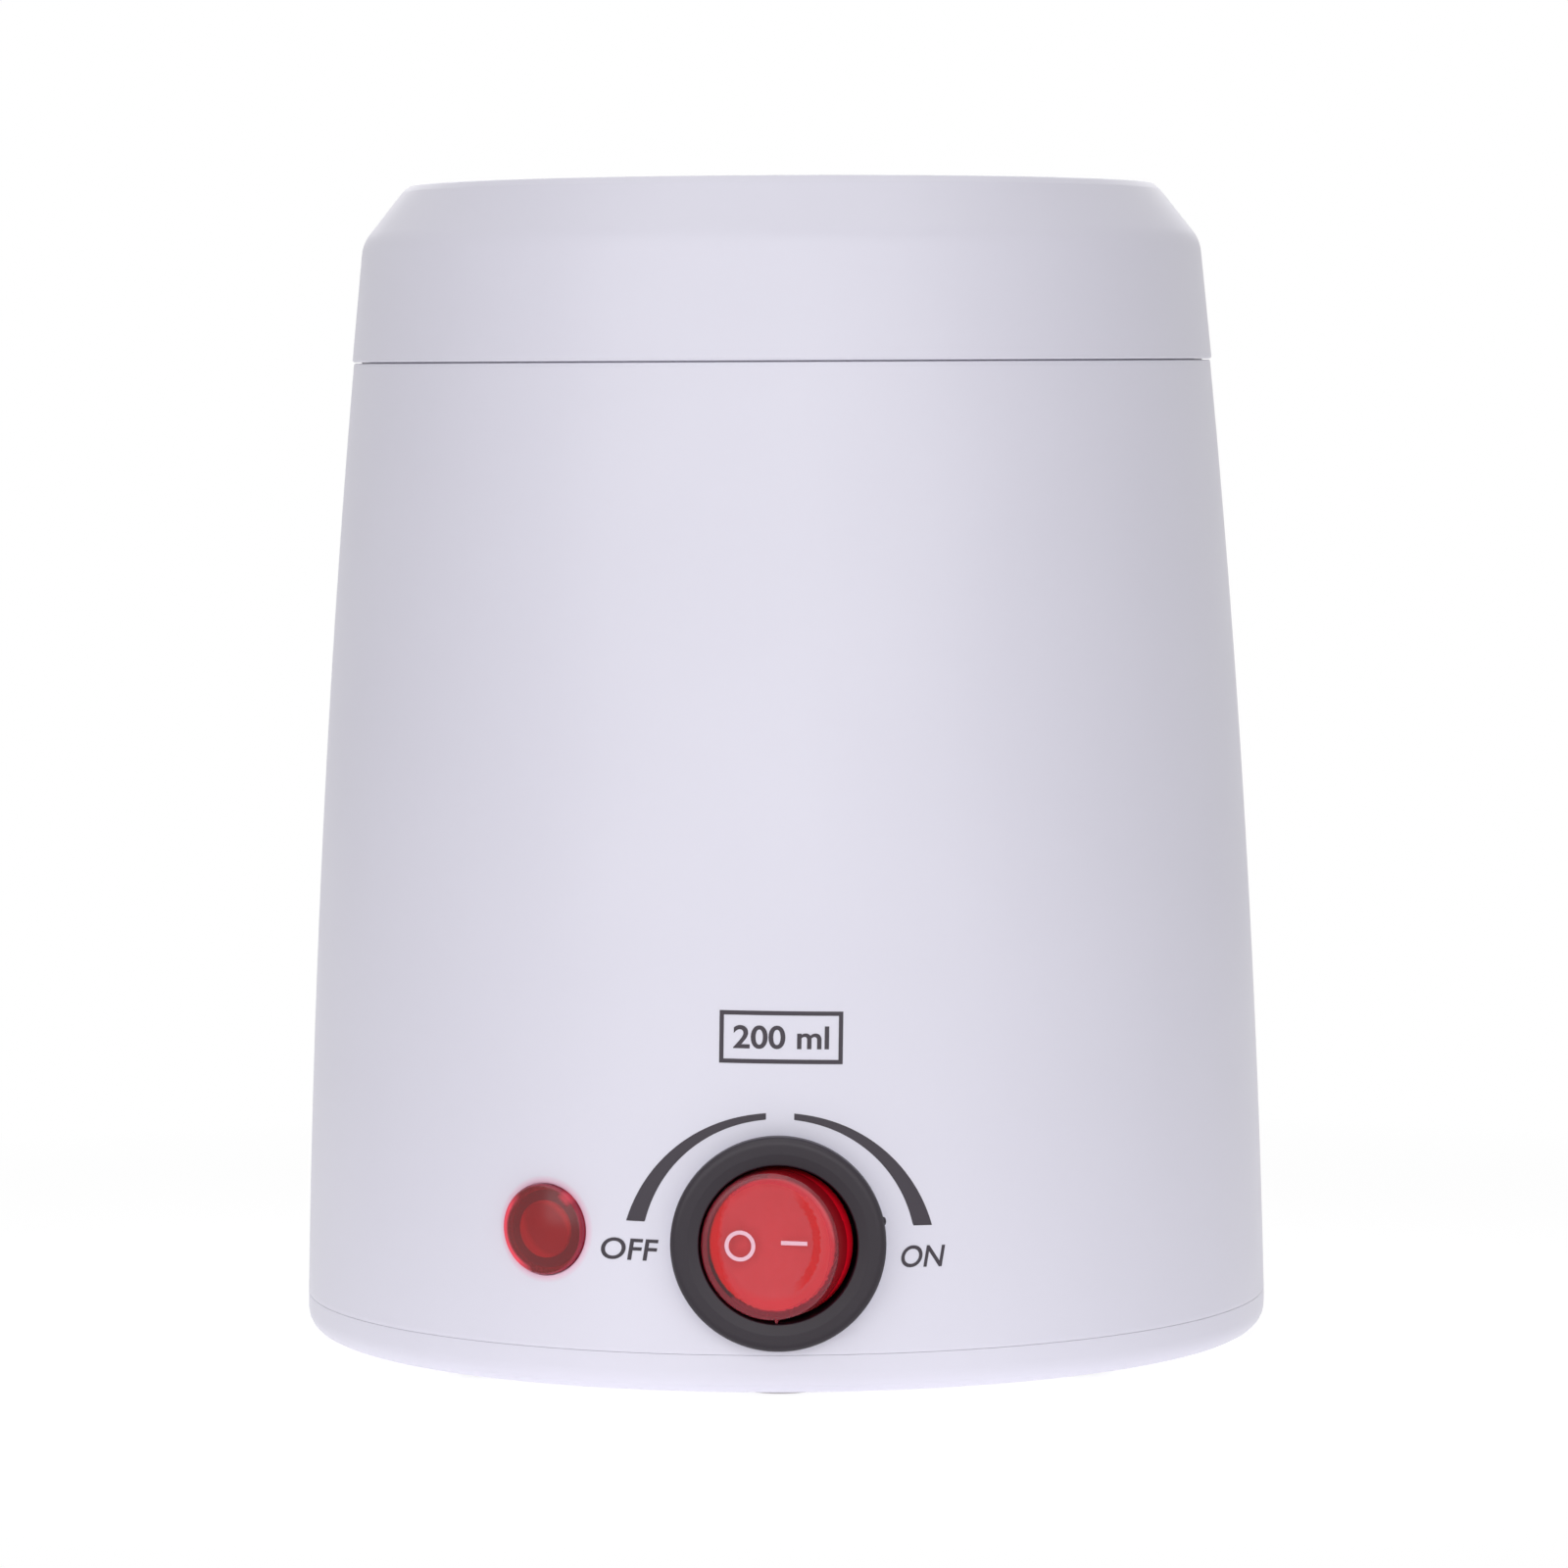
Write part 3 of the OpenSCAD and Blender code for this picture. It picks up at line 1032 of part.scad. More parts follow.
// The bail is a half circle whose ends turn inwards, square to the lugs
bail_reach = mouth_r - bail_wire_d / 2 - seat_gap;
bail_r = bail_reach - bail_bend;
bail_pivot_z = pot_sheet_z + bail_pivot_h;
bail_rest = asin((bail_pivot_h - bail_wire_d / 2 - seat_gap) / bail_reach);
lug_eye_d = 3.4;
lug_foot = 1.9;
pin_reach = 0.8;
pin_head_d = 2.8;
pin_head_t = 0.5;
module bail_lugs() color(bare_aluminium) lifted() for (s = [0, 180]) rotate(s) difference() {
    union() {
        translate([lug_x, -lug_w / 2, pot_sheet_z]) cube([lug_foot, lug_w, lug_t]);
        translate([lug_x, -lug_w / 2, pot_sheet_z]) cube([lug_t, lug_w, bail_pivot_h]);
        translate([lug_x, 0, bail_pivot_z]) rotate([0, 90, 0]) cylinder(d = lug_eye_d, h = lug_t);
    }
    translate([lug_x - 1, 0, bail_pivot_z]) rotate([0, 90, 0])
        cylinder(d = bail_wire_d + 2 * pivot_gap, h = 4);
}
module bail_handle() color(zinc_steel) lifted() translate([0, 0, bail_pivot_z]) rotate([bail_rest, 0, 0]) {
    translate([0, -bail_bend, 0]) rotate(180) rotate_extrude(angle = 180)
        translate([bail_r, 0]) circle(d = bail_wire_d);
    for (s = [0, 1]) mirror([s, 0, 0]) {
        translate([bail_r - bail_bend, -bail_bend, 0]) rotate_extrude(angle = 90)
            translate([bail_bend, 0]) circle(d = bail_wire_d);
        translate([lug_x - pin_reach, 0, 0]) rotate([0, 90, 0])
            cylinder(d = bail_wire_d, h = bail_r - bail_bend - lug_x + pin_reach);
        translate([lug_x - pin_reach, 0, 0]) rotate([0, 90, 0]) cylinder(d = pin_head_d, h = pin_head_t);
    }
}

outer_shell();
top_collar();
base_cover();
rubber_feet();
base_screws();
collar_screws();
heating_well();
well_seal();
well_screws();
heater_band();
band_clamp();
clamp_bolt();
clamp_nut();
insulation_sleeve();
thermostat_cap();
thermostat_body();
thermostat_blades();
thermostat_bracket();
thermostat_screws();
fuse_sleeve();
thermal_fuse();
fuse_clip();
fuse_clip_screw();
earth_tag();
switch_housing();
switch_rocker();
switch_blades();
contact_lever();
rocker_plunger();
plunger_spring();
rocker_lamp();
spade_connectors();
pilot_lens();
pilot_clip();
pilot_bulb();
pilot_resistor();
cord_gland();
terminal_block();
block_inserts();
block_screws();
block_fixing_screw();
crimp_caps();
live_leads();
neutral_leads();
earth_lead();
pilot_leads();
wax_pot();
bail_lugs();
bail_handle();
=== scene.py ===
"""Looks of a small electric wax warmer: body and collar, round rocker switch, pilot lamp, pot and bail.

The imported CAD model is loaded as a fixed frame. Each section below makes or finishes one real piece, in
the order in which the object is put together. Points are worked out in millimetres and stored in metres.
"""

import math

import bmesh
import bpy
import numpy as np
from mathutils import Matrix, Vector


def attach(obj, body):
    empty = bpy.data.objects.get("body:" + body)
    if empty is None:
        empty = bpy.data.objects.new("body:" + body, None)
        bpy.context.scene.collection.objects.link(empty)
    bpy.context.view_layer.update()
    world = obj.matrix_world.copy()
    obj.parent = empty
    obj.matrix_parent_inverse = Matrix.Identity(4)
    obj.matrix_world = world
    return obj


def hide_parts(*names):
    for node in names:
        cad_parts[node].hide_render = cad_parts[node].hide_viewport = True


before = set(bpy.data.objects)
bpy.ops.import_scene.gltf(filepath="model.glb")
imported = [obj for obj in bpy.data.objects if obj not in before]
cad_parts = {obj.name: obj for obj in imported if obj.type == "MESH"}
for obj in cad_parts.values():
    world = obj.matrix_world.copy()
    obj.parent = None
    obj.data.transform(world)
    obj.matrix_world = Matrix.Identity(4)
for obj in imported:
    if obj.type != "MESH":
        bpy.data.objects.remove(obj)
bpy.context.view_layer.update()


# Camera: a short telephoto at the height of the collar's seam, a little to the right of the switch's
# axis and looking slightly down, as a product is photographed on a table.
MM = 0.001
CAMERA_DISTANCE = 740.0
CAMERA_HEIGHT = 111.0
CAMERA_AROUND = math.radians(0.87)
CAMERA_DOWN = math.radians(3.73)
CAMERA_ROLL = math.radians(0.27)
IMAGE_PIXELS = 1600
FOCAL_PIXELS = 6620.0

camera_data = bpy.data.cameras.new("camera")
camera_data.sensor_width = 36.0
camera_data.lens = camera_data.sensor_width * FOCAL_PIXELS / IMAGE_PIXELS
camera_data.clip_start = 0.01
camera_data.clip_end = 50.0
camera = bpy.data.objects.new("camera", camera_data)
bpy.context.scene.collection.objects.link(camera)
camera.matrix_world = (
    Matrix.Translation((
        CAMERA_DISTANCE * math.sin(CAMERA_AROUND) * MM,
        -CAMERA_DISTANCE * math.cos(CAMERA_AROUND) * MM,
        CAMERA_HEIGHT * MM,
    ))
    @ Matrix.Rotation(CAMERA_AROUND, 4, "Z")
    @ Matrix.Rotation(math.pi / 2 - CAMERA_DOWN, 4, "X")
    @ Matrix.Rotation(-CAMERA_ROLL, 4, "Z")
)
bpy.context.scene.camera = camera
bpy.context.scene.view_settings.view_transform = "Standard"


# Floor, surroundings and lamps: a white sheet on a table between large soft lamps, in a white room. The
# sheet keeps the object's soft shadow close to it and fades to plain white further out.
def linear(hex_colour):
    """An sRGB hex colour as linear red, green, blue and alpha."""
    channels = [int(hex_colour[i:i + 2], 16) / 255 for i in (1, 3, 5)]
    return [c / 12.92 if c <= 0.04045 else ((c + 0.055) / 1.055) ** 2.4 for c in channels] + [1.0]


def add_node(tree, kind, settings=(), links=()):
    """Adds a node; settings fill its properties and sockets by name, links join its sockets to outputs.

    A node that stands in place of an output means its first output."""
    made = tree.nodes.new("ShaderNode" + kind)
    for name, value in dict(settings).items():
        if isinstance(name, str) and hasattr(made, name):
            setattr(made, name, value)
        else:
            made.inputs[name].default_value = value
    for name, source in dict(links).items():
        tree.links.new(getattr(source, "outputs", [source])[0], made.inputs[name])
    return made


def seen_directly(tree):
    """1 where the camera, a mirror or a clear material sees the surface, 0 where it only gives light."""
    path = add_node(tree, "LightPath")
    either = add_node(tree, "Math", {"operation": "MAXIMUM"},
                      {0: path.outputs["Is Camera Ray"], 1: path.outputs["Is Glossy Ray"]})
    return add_node(tree, "Math", {"operation": "MAXIMUM"},
                    {0: either, 1: path.outputs["Is Transmission Ray"]})


ROOM_LIGHT = 0.12

world = bpy.data.worlds.new("white_room")
bpy.context.scene.world = world
world.use_nodes = True
room = world.node_tree
room.nodes.clear()
room_seen = add_node(room, "Background", {"Color": linear("#FFFFFF"), "Strength": 1.0})
room_light = add_node(room, "Background", {"Color": linear("#FFFFFF"), "Strength": ROOM_LIGHT})
room_mixed = add_node(room, "MixShader", (), {0: seen_directly(room), 1: room_light, 2: room_seen})
add_node(room, "OutputWorld", (), {"Surface": room_mixed})

SHEET_RADIUS = 4000.0
sheet_rings = np.array([0.0, 60.0, 150.0, 400.0, 1200.0, SHEET_RADIUS])
sheet_turns = np.radians(np.linspace(0, 360, 65))
sheet_points = np.stack([
    sheet_rings[:, None] * np.cos(sheet_turns), sheet_rings[:, None] * np.sin(sheet_turns),
    np.zeros((sheet_rings.size, sheet_turns.size))], -1).reshape(-1, 3)
sheet_at = np.arange(sheet_rings.size * sheet_turns.size).reshape(sheet_rings.size, -1)
sheet_faces = np.stack([sheet_at[:-1, :-1], sheet_at[1:, :-1], sheet_at[1:, 1:], sheet_at[:-1, 1:]], -1)
sheet_mesh = bpy.data.meshes.new("floor_sheet")
sheet_mesh.from_pydata(sheet_points * MM, [], sheet_faces.reshape(-1, 4).tolist())
sheet = bpy.data.objects.new("floor_sheet", sheet_mesh)
bpy.context.scene.collection.objects.link(sheet)

# Share of the sheet's shade that the camera sees near the object, and where it fades; strength of the
# light from beneath, near and far, and where that changes. Distances in metres from the object's axis
SHADOW_KEPT = 0.35
FADE_FROM, FADE_TO = 0.06, 0.22
GLOW_NEAR, GLOW_FAR = 0.49, 0.1
GLOW_FROM, GLOW_TO = 0.10, 0.30


def new_material(name):
    """An empty material, its node tree, and a point's place on the object."""
    made = bpy.data.materials.new(name)
    made.use_nodes = True
    made.node_tree.nodes.clear()
    return made, made.node_tree, add_node(made.node_tree, "TexCoord").outputs["Object"]


def light_table_paper():
    """Matt white paper, lit a little from beneath. Seen directly, it fades to plain white further out."""
    made, tree, place = new_material("matt_white_paper")
    distance = add_node(tree, "VectorMath", {"operation": "LENGTH"}, {0: place}).outputs["Value"]
    near = add_node(tree, "MapRange", {"From Min": FADE_FROM, "From Max": FADE_TO, "To Min": 1 - SHADOW_KEPT,
                                       "To Max": 1.0}, {"Value": distance})
    share = add_node(tree, "Math", {"operation": "MULTIPLY"}, {0: near, 1: seen_directly(tree)})
    matt = add_node(tree, "BsdfDiffuse", {"Color": linear("#F4F4F4")})
    strength = add_node(tree, "MapRange", {"From Min": GLOW_FROM, "From Max": GLOW_TO, "To Min": GLOW_NEAR,
                                           "To Max": GLOW_FAR}, {"Value": distance})
    glow = add_node(tree, "Emission", {"Color": linear("#FFFFFF")}, {"Strength": strength})
    lit = add_node(tree, "AddShader", (), {0: matt, 1: glow})
    white = add_node(tree, "Emission", {"Color": linear("#FFFFFF"), "Strength": 1.0})
    mixed = add_node(tree, "MixShader", (), {0: share, 1: lit, 2: white})
    add_node(tree, "OutputMaterial", (), {"Surface": mixed})
    return made


sheet_mesh.materials.append(light_table_paper())


LAMP_AIM = Vector((0, 0, 0.065))


def soft_lamp(name, place, size, watts):
    """A square soft lamp at a place in millimetres, turned to the middle of the object."""
    data = bpy.data.lights.new(name, "AREA")
    data.shape = "SQUARE"
    data.size = size * MM
    data.energy = watts
    lamp = bpy.data.objects.new(name, data)
    bpy.context.scene.collection.objects.link(lamp)
    at = Vector(place) * MM
    towards = LAMP_AIM - at
    lamp.matrix_world = Matrix.Translation(at) @ towards.to_track_quat("-Z", "Y").to_matrix().to_4x4()


soft_lamp("key_lamp", (-420, -1150, 420), 1500, 9.1)
soft_lamp("fill_lamp", (500, -1100, 350), 1000, 3.45)
soft_lamp("top_lamp", (0, -100, 1300), 1400, 6.4)
soft_lamp("rear_lamp", (0, 1300, 800), 1130, 4.0)


# Outer shell: the tapering body, one injection moulding in lavender-white ABS with a satin-gloss skin.
# Its long flank bulges outward very slightly; it has a raised seat for the switch, spotfaces for the
# pilot lamp and the cord's gland, screw posts inside and a lip that the collar sits over.
FLANK_RADIUS = 1498.0
FLANK_CENTRE_R = -1442.926
FLANK_CENTRE_Z = -28.134
BODY_LOW, BODY_HIGH = 5.345, 110.93
GROOVE_DEPTH = 0.9
BODY_WALL = 2.2
SWITCH_HEIGHT = 17.4
PANEL_Y = -54.583
LENS_TURN, LENS_HEIGHT, LENS_SEAT = -27.6, 18.1, 54.01
GLAND_HEIGHT, GLAND_SEAT = 18.0, 53.96


def flank(height):
    """Radius of the body at a height: an arc of FLANK_RADIUS about (FLANK_CENTRE_R, FLANK_CENTRE_Z)."""
    return FLANK_CENTRE_R + np.sqrt(FLANK_RADIUS**2 - (np.asarray(height, float) - FLANK_CENTRE_Z) ** 2)


def lathe(profile, turns):
    """Each point (radius, height) of the profile carried round the Z axis to each turn from the front."""
    profile = np.asarray(profile, float)
    around = np.radians(turns)
    return np.stack([
        profile[:, :1] * np.sin(around), -profile[:, :1] * np.cos(around),
        np.repeat(profile[:, 1:], around.size, 1)], -1)


def rounded(corners, steps=5):
    """The outline through corners (x, y, radius), each replaced by an arc that touches both its sides."""
    points = np.array([c[:2] for c in corners], float)
    radii = np.array([c[2] for c in corners], float)
    before = np.roll(points, 1, 0) - points
    after = np.roll(points, -1, 0) - points
    before /= np.linalg.norm(before, axis=1, keepdims=True)
    after /= np.linalg.norm(after, axis=1, keepdims=True)
    half = np.arccos(np.clip((before * after).sum(1), -1, 1)) / 2
    bisector = before + after
    bisector /= np.maximum(np.linalg.norm(bisector, axis=1, keepdims=True), 1e-9)
    middle = points + bisector * (radii / np.sin(half))[:, None]
    start = points + before * (radii / np.tan(half))[:, None] - middle
    end = points + after * (radii / np.tan(half))[:, None] - middle
    out = []
    for corner, radius, centre, a, b in zip(points, radii, middle, start, end):
        if radius == 0:
            out.append(corner[None])
            continue
        first = np.arctan2(a[1], a[0])
        sweep = (np.arctan2(b[1], b[0]) - first + np.pi) % (2 * np.pi) - np.pi
        angle = first + sweep * np.linspace(0, 1, steps + 1)
        out.append(centre + radius * np.stack([np.cos(angle), np.sin(angle)], -1))
    return np.concatenate(out)


def closed(profile, support=0.15):
    """The profile with its first point repeated at its end. A long straight side also gets a point close
    to each of its ends, so that shading stays flat along it up to the rounding."""
    start = np.asarray(profile, float)
    side = np.roll(start, -1, 0) - start
    length = np.linalg.norm(side, axis=1, keepdims=True)
    step = side / np.maximum(length, 1e-9) * support
    rows = np.stack([start, start + step, start + side - step], 1)
    kept = np.stack([np.ones(len(start), bool), length[:, 0] > 4 * support, length[:, 0] > 4 * support], 1)
    return np.concatenate([rows[kept], start[:1]])


def joined(mesh, distance, outwards=False):
    """Joins corners of the mesh that lie within a distance, and can turn its faces outwards."""
    merged = bmesh.new()
    merged.from_mesh(mesh)
    bmesh.ops.remove_doubles(merged, verts=merged.verts, dist=distance)
    if outwards:
        bmesh.ops.recalc_face_normals(merged, faces=merged.faces)
    merged.to_mesh(mesh)
    merged.free()


def put_in_place(name, mesh, material, body, replaces=()):
    """The finished mesh as an object in its material, riding on its body."""
    mesh.materials.clear()
    mesh.materials.append(material)
    made = bpy.data.objects.new(name, mesh)
    bpy.context.scene.collection.objects.link(made)
    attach(made, body)
    if replaces:
        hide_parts(*replaces)
    return made


def make_piece(name, grids, material, body, replaces=(), crease=32.0):
    """One mesh out of grids of points, rows x columns x 3 in millimetres: four neighbours are a face.

    A grid may come with a mask that leaves faces out. Points that coincide are joined, faces are turned
    outwards, and edges sharper than the crease angle stay sharp."""
    points, faces, count = [], [], 0
    for grid in grids:
        grid, keep = grid if isinstance(grid, tuple) else (grid, None)
        rows, columns = grid.shape[:2]
        at = count + np.arange(rows * columns).reshape(rows, columns)
        quads = np.stack([at[:-1, :-1], at[:-1, 1:], at[1:, 1:], at[1:, :-1]], -1)
        faces.append(quads.reshape(-1, 4) if keep is None else quads[keep])
        points.append(grid.reshape(-1, 3))
        count += rows * columns
    mesh = bpy.data.meshes.new(name)
    mesh.from_pydata(np.concatenate(points) * MM, [], np.concatenate(faces).tolist())
    joined(mesh, 0.002 * MM, outwards=True)
    mesh.polygons.foreach_set("use_smooth", np.ones(len(mesh.polygons), bool))
    mesh.set_sharp_from_angle(angle=math.radians(crease))
    return put_in_place(name, mesh, material, body, replaces)


def on_flank(across, height, turn, inset):
    """Points of the body's wall, `inset` under its skin, as seen along a direction `turn` degrees from the
    front. A point `across` millimetres to the side of that line lies at turn + asin(across / radius)."""
    radius = flank(height) - inset
    around = math.radians(turn) + np.arcsin(across / radius)
    return np.stack([radius * np.sin(around), -radius * np.cos(around), height], -1)


def to_direction(turn, height, across, up, out):
    """Points on planes square to a direction: across and up in the plane, out along the direction."""
    side = np.array([math.cos(math.radians(turn)), math.sin(math.radians(turn)), 0.0])
    ahead = np.array([math.sin(math.radians(turn)), -math.cos(math.radians(turn)), 0.0])
    across, up, out = np.broadcast_arrays(across, up, out)
    above = (height + up)[..., None] * np.array([0, 0, 1.0])
    return across[..., None] * side + above + out[..., None] * ahead


COLUMN = 1.5
FIRST_TURN = -90.0
shell_turns = FIRST_TURN + COLUMN * np.arange(int(360 / COLUMN) + 1)
LOWEST_ROW, ROW_STEP, INNER_TOP = 5.8, 1.23, 105.9
low_heights = LOWEST_ROW + ROW_STEP * np.arange(21)
high_heights = np.append(np.linspace(low_heights[-1], BODY_HIGH - 0.5, 42)[1:], BODY_HIGH - 0.2)
wall_heights = np.concatenate([low_heights, high_heights])
outer_profile = np.stack([flank(wall_heights), wall_heights], -1)
inner_heights = wall_heights[wall_heights < INNER_TOP]
inner_profile = np.stack([flank(inner_heights) - BODY_WALL, inner_heights], -1)[::-1]
LIP_OUT, LIP_IN, LIP_TOP = 46.8, 45.5, BODY_HIGH + 2.4
shell_profile = np.concatenate([
    [[flank(BODY_LOW) - 0.08, BODY_LOW], [flank(BODY_LOW) - 0.02, BODY_LOW + 0.02],
     [flank(BODY_LOW), BODY_LOW + 0.08]],
    outer_profile,
    [[flank(BODY_HIGH) - 0.04, BODY_HIGH - 0.05], [flank(BODY_HIGH) - 0.2, BODY_HIGH],
     [flank(BODY_HIGH) - GROOVE_DEPTH, BODY_HIGH], [flank(BODY_HIGH) - GROOVE_DEPTH, BODY_HIGH + 0.12],
     [LIP_OUT, BODY_HIGH + 0.12], [LIP_OUT, LIP_TOP - 0.2], [LIP_OUT - 0.2, LIP_TOP],
     [LIP_IN + 0.2, LIP_TOP], [LIP_IN, LIP_TOP - 0.2], [LIP_IN, BODY_HIGH - 2.5]],
    inner_profile,
    [[flank(BODY_LOW) - BODY_WALL, BODY_LOW]],
])
shell_profile = np.concatenate([shell_profile, shell_profile[:1]])
OUTER_ROW = 3
INNER_ROW = OUTER_ROW + len(outer_profile) + 10 + len(inner_profile) - 1

# Openings for the switch, the lens and the gland: turn and height of the axis; columns and rows of wall
# taken away round it; radii of the hole outside, the bore and the hole inside; how far out the seat and
# the bore's inner end lie
openings = [
    (0.0, SWITCH_HEIGHT, (-15.0, 15.0), (0, 20), (11.2, 10.1, 11.2), (-PANEL_Y, -PANEL_Y - 3.0)),
    (LENS_TURN, LENS_HEIGHT, (-36.0, -19.5), (4, 16), (5.02, 4.3, 7.5), (LENS_SEAT, LENS_SEAT - 3.2)),
    (180.0, GLAND_HEIGHT, (169.5, 190.5), (3, 17), (7.2, 5.4, 8.0), (GLAND_SEAT, GLAND_SEAT - 3.2)),
]
wall_kept = np.ones((len(shell_profile) - 1, len(shell_turns) - 1), bool)


def frame_round(turn, height, turns, rows, inset):
    """The wall points along the edge of an opening, all round, as (across, up) from its axis."""
    columns = np.arange(turns[0], turns[1] + COLUMN / 2, COLUMN)
    levels = low_heights[rows[0]:rows[1] + 1]
    around = np.concatenate([columns[:-1], np.full(levels.size - 1, columns[-1]),
                             columns[:0:-1], np.full(levels.size, columns[0])])
    level = np.concatenate([np.full(columns.size - 1, levels[0]), levels[:-1],
                            np.full(columns.size - 1, levels[-1]), levels[::-1]])
    return (flank(level) - inset) * np.sin(np.radians(around - turn)), level - height


def collar_of_wall(turn, height, turns, rows, radius, inset, angles=None, steps=7):
    """The wall from a round hole's edge out to the opening's edge, and the angles of the hole's points."""
    across, up = frame_round(turn, height, turns, rows, inset)
    angles = np.arctan2(up, across) if angles is None else angles
    share = (np.linspace(0, 1, steps + 1) ** 1.4)[:, None]
    x = radius * np.cos(angles) * (1 - share) + across * share
    z = radius * np.sin(angles) * (1 - share) + up * share
    return on_flank(x, height + z, turn, inset), angles


def circle_at(turn, height, angles, radius, out):
    """A circle of a radius on the plane `out` millimetres along a direction."""
    return to_direction(turn, height, radius * np.cos(angles), radius * np.sin(angles), out)


shell_grids = []
for turn, height, turns, rows, (outer_hole, bore, inner_hole), (seat_out, inner_out) in openings:
    outer_ring, angles = collar_of_wall(turn, height, turns, rows, outer_hole, 0.0)
    inner_ring = collar_of_wall(turn, height, turns, rows, inner_hole, BODY_WALL, angles)[0]
    steps_in = ((outer_hole, seat_out), (bore, seat_out), (bore, inner_out), (inner_hole, inner_out))
    tunnel = np.stack([outer_ring[0]] + [circle_at(turn, height, angles, *step) for step in steps_in]
                      + [inner_ring[0]])
    shell_grids += [outer_ring, tunnel, inner_ring]
    first = int(round((turns[0] - FIRST_TURN) / COLUMN))
    last = int(round((turns[1] - FIRST_TURN) / COLUMN))
    wall_kept[OUTER_ROW + rows[0]:OUTER_ROW + rows[1], first:last] = False
    wall_kept[INNER_ROW - rows[1]:INNER_ROW - rows[0], first:last] = False
shell_grids.append((lathe(shell_profile, shell_turns), wall_kept))


def tube_at(turn, ring_radius, profile, steps=48):
    """A small turned part whose own axis stands upright on a ring of the body, at a turn from the front."""
    made = lathe(profile, np.linspace(0, 360, steps + 1))
    return made + np.array([ring_radius * math.sin(math.radians(turn)),
                            -ring_radius * math.cos(math.radians(turn)), 0.0])


def sector(profile, middle, span, steps=12):
    """A four-cornered profile carried round the Z axis over a span of degrees, with both ends closed."""
    corners = np.asarray(profile, float)
    turns = np.linspace(middle - span / 2, middle + span / 2, steps)
    around = lathe(np.concatenate([corners, corners[:1]]), turns)
    return [around] + [around[[0, 1, 3, 2], k].reshape(2, 2, 3) for k in (0, -1)]


# Posts for the base cover's screws, each tied to the wall by a rib
SCREW_BORE, POST_R, POST_RING, POST_LOW, POST_TOP = 1.35, 4.0, 46.0, 10.0, 28.0
RIB_IN, RIB_OUT, RIB_TOP, RIB_SPAN = POST_RING + 3.5, 52.9, 26.0, 2.1
post_profile = closed(rounded([(SCREW_BORE, POST_LOW, 0), (POST_R, POST_LOW, 0.3), (POST_R, POST_TOP, 0.5),
                               (SCREW_BORE, POST_TOP, 0)]))
for turn in (45, 135, 225, 315):
    shell_grids.append(tube_at(turn, POST_RING, post_profile))
    shell_grids += sector([(RIB_IN, POST_LOW), (RIB_OUT, POST_LOW), (RIB_OUT, RIB_TOP), (RIB_IN, RIB_TOP)],
                          turn, RIB_SPAN, 3)

# Ears that the collar is screwed to
EAR_IN, EAR_OUT, EAR_LOW, EAR_TOP, EAR_SPAN = 39.6, 46.7, 108.4, 110.8, 20
for turn in (60, 180, 300):
    shell_grids += sector([(EAR_IN, EAR_LOW), (EAR_OUT, EAR_LOW), (EAR_OUT, EAR_TOP), (EAR_IN, EAR_TOP)],
                          turn, EAR_SPAN)


# Blender's noise keeps mostly between these two values
NOISE_LOW, NOISE_HIGH = 0.3, 0.7


def opaque_skin(tree, tone, wear, smoothest, roughest, marks, relief, settings):
    """Ends an opaque material: `wear` varies its roughness between two values, `marks` stand in relief."""
    rough = add_node(tree, "MapRange", {"From Min": NOISE_LOW, "From Max": NOISE_HIGH, "To Min": smoothest,
                                        "To Max": roughest}, {"Value": wear})
    bump = add_node(tree, "Bump", {"Strength": relief, "Distance": 0.02 * MM}, {"Height": marks})
    shader = add_node(tree, "BsdfPrincipled", settings,
                      {"Base Color": tone, "Roughness": rough, "Normal": bump})
    add_node(tree, "OutputMaterial", (), {"Surface": shader})


def moulded_plastic(name, colour, drift, roughness, grain=0.35, ior=1.53):
    """Injection-moulded plastic: a faint unevenness of tone from its flow in the mould, a fine satin
    grain of `grain` millimetres in the surface, and roughness that wanders a little."""
    made, tree, place = new_material(name)
    flow = add_node(tree, "TexNoise", {"Scale": 1 / (28 * MM), "Detail": 2.0, "Roughness": 0.5},
                    {"Vector": place})
    tone = add_node(tree, "MixRGB", {"Color1": linear(colour), "Color2": linear(drift)}, {"Fac": flow})
    skin = add_node(tree, "TexNoise", {"Scale": 1 / (grain * MM), "Detail": 3.0, "Roughness": 0.6},
                    {"Vector": place})
    opaque_skin(tree, tone, flow, roughness - 0.03, roughness + 0.03, skin, 0.12, {"IOR": ior})
    return made


# Lavender-white ABS with a satin-gloss skin: broad soft highlights and hardly any grain
lavender_abs = moulded_plastic("lavender_white_abs", "#DFDDEA", "#DBD9E6", 0.38)
make_piece("shell_body", shell_grids, lavender_abs, "housing", ("outer_shell",))


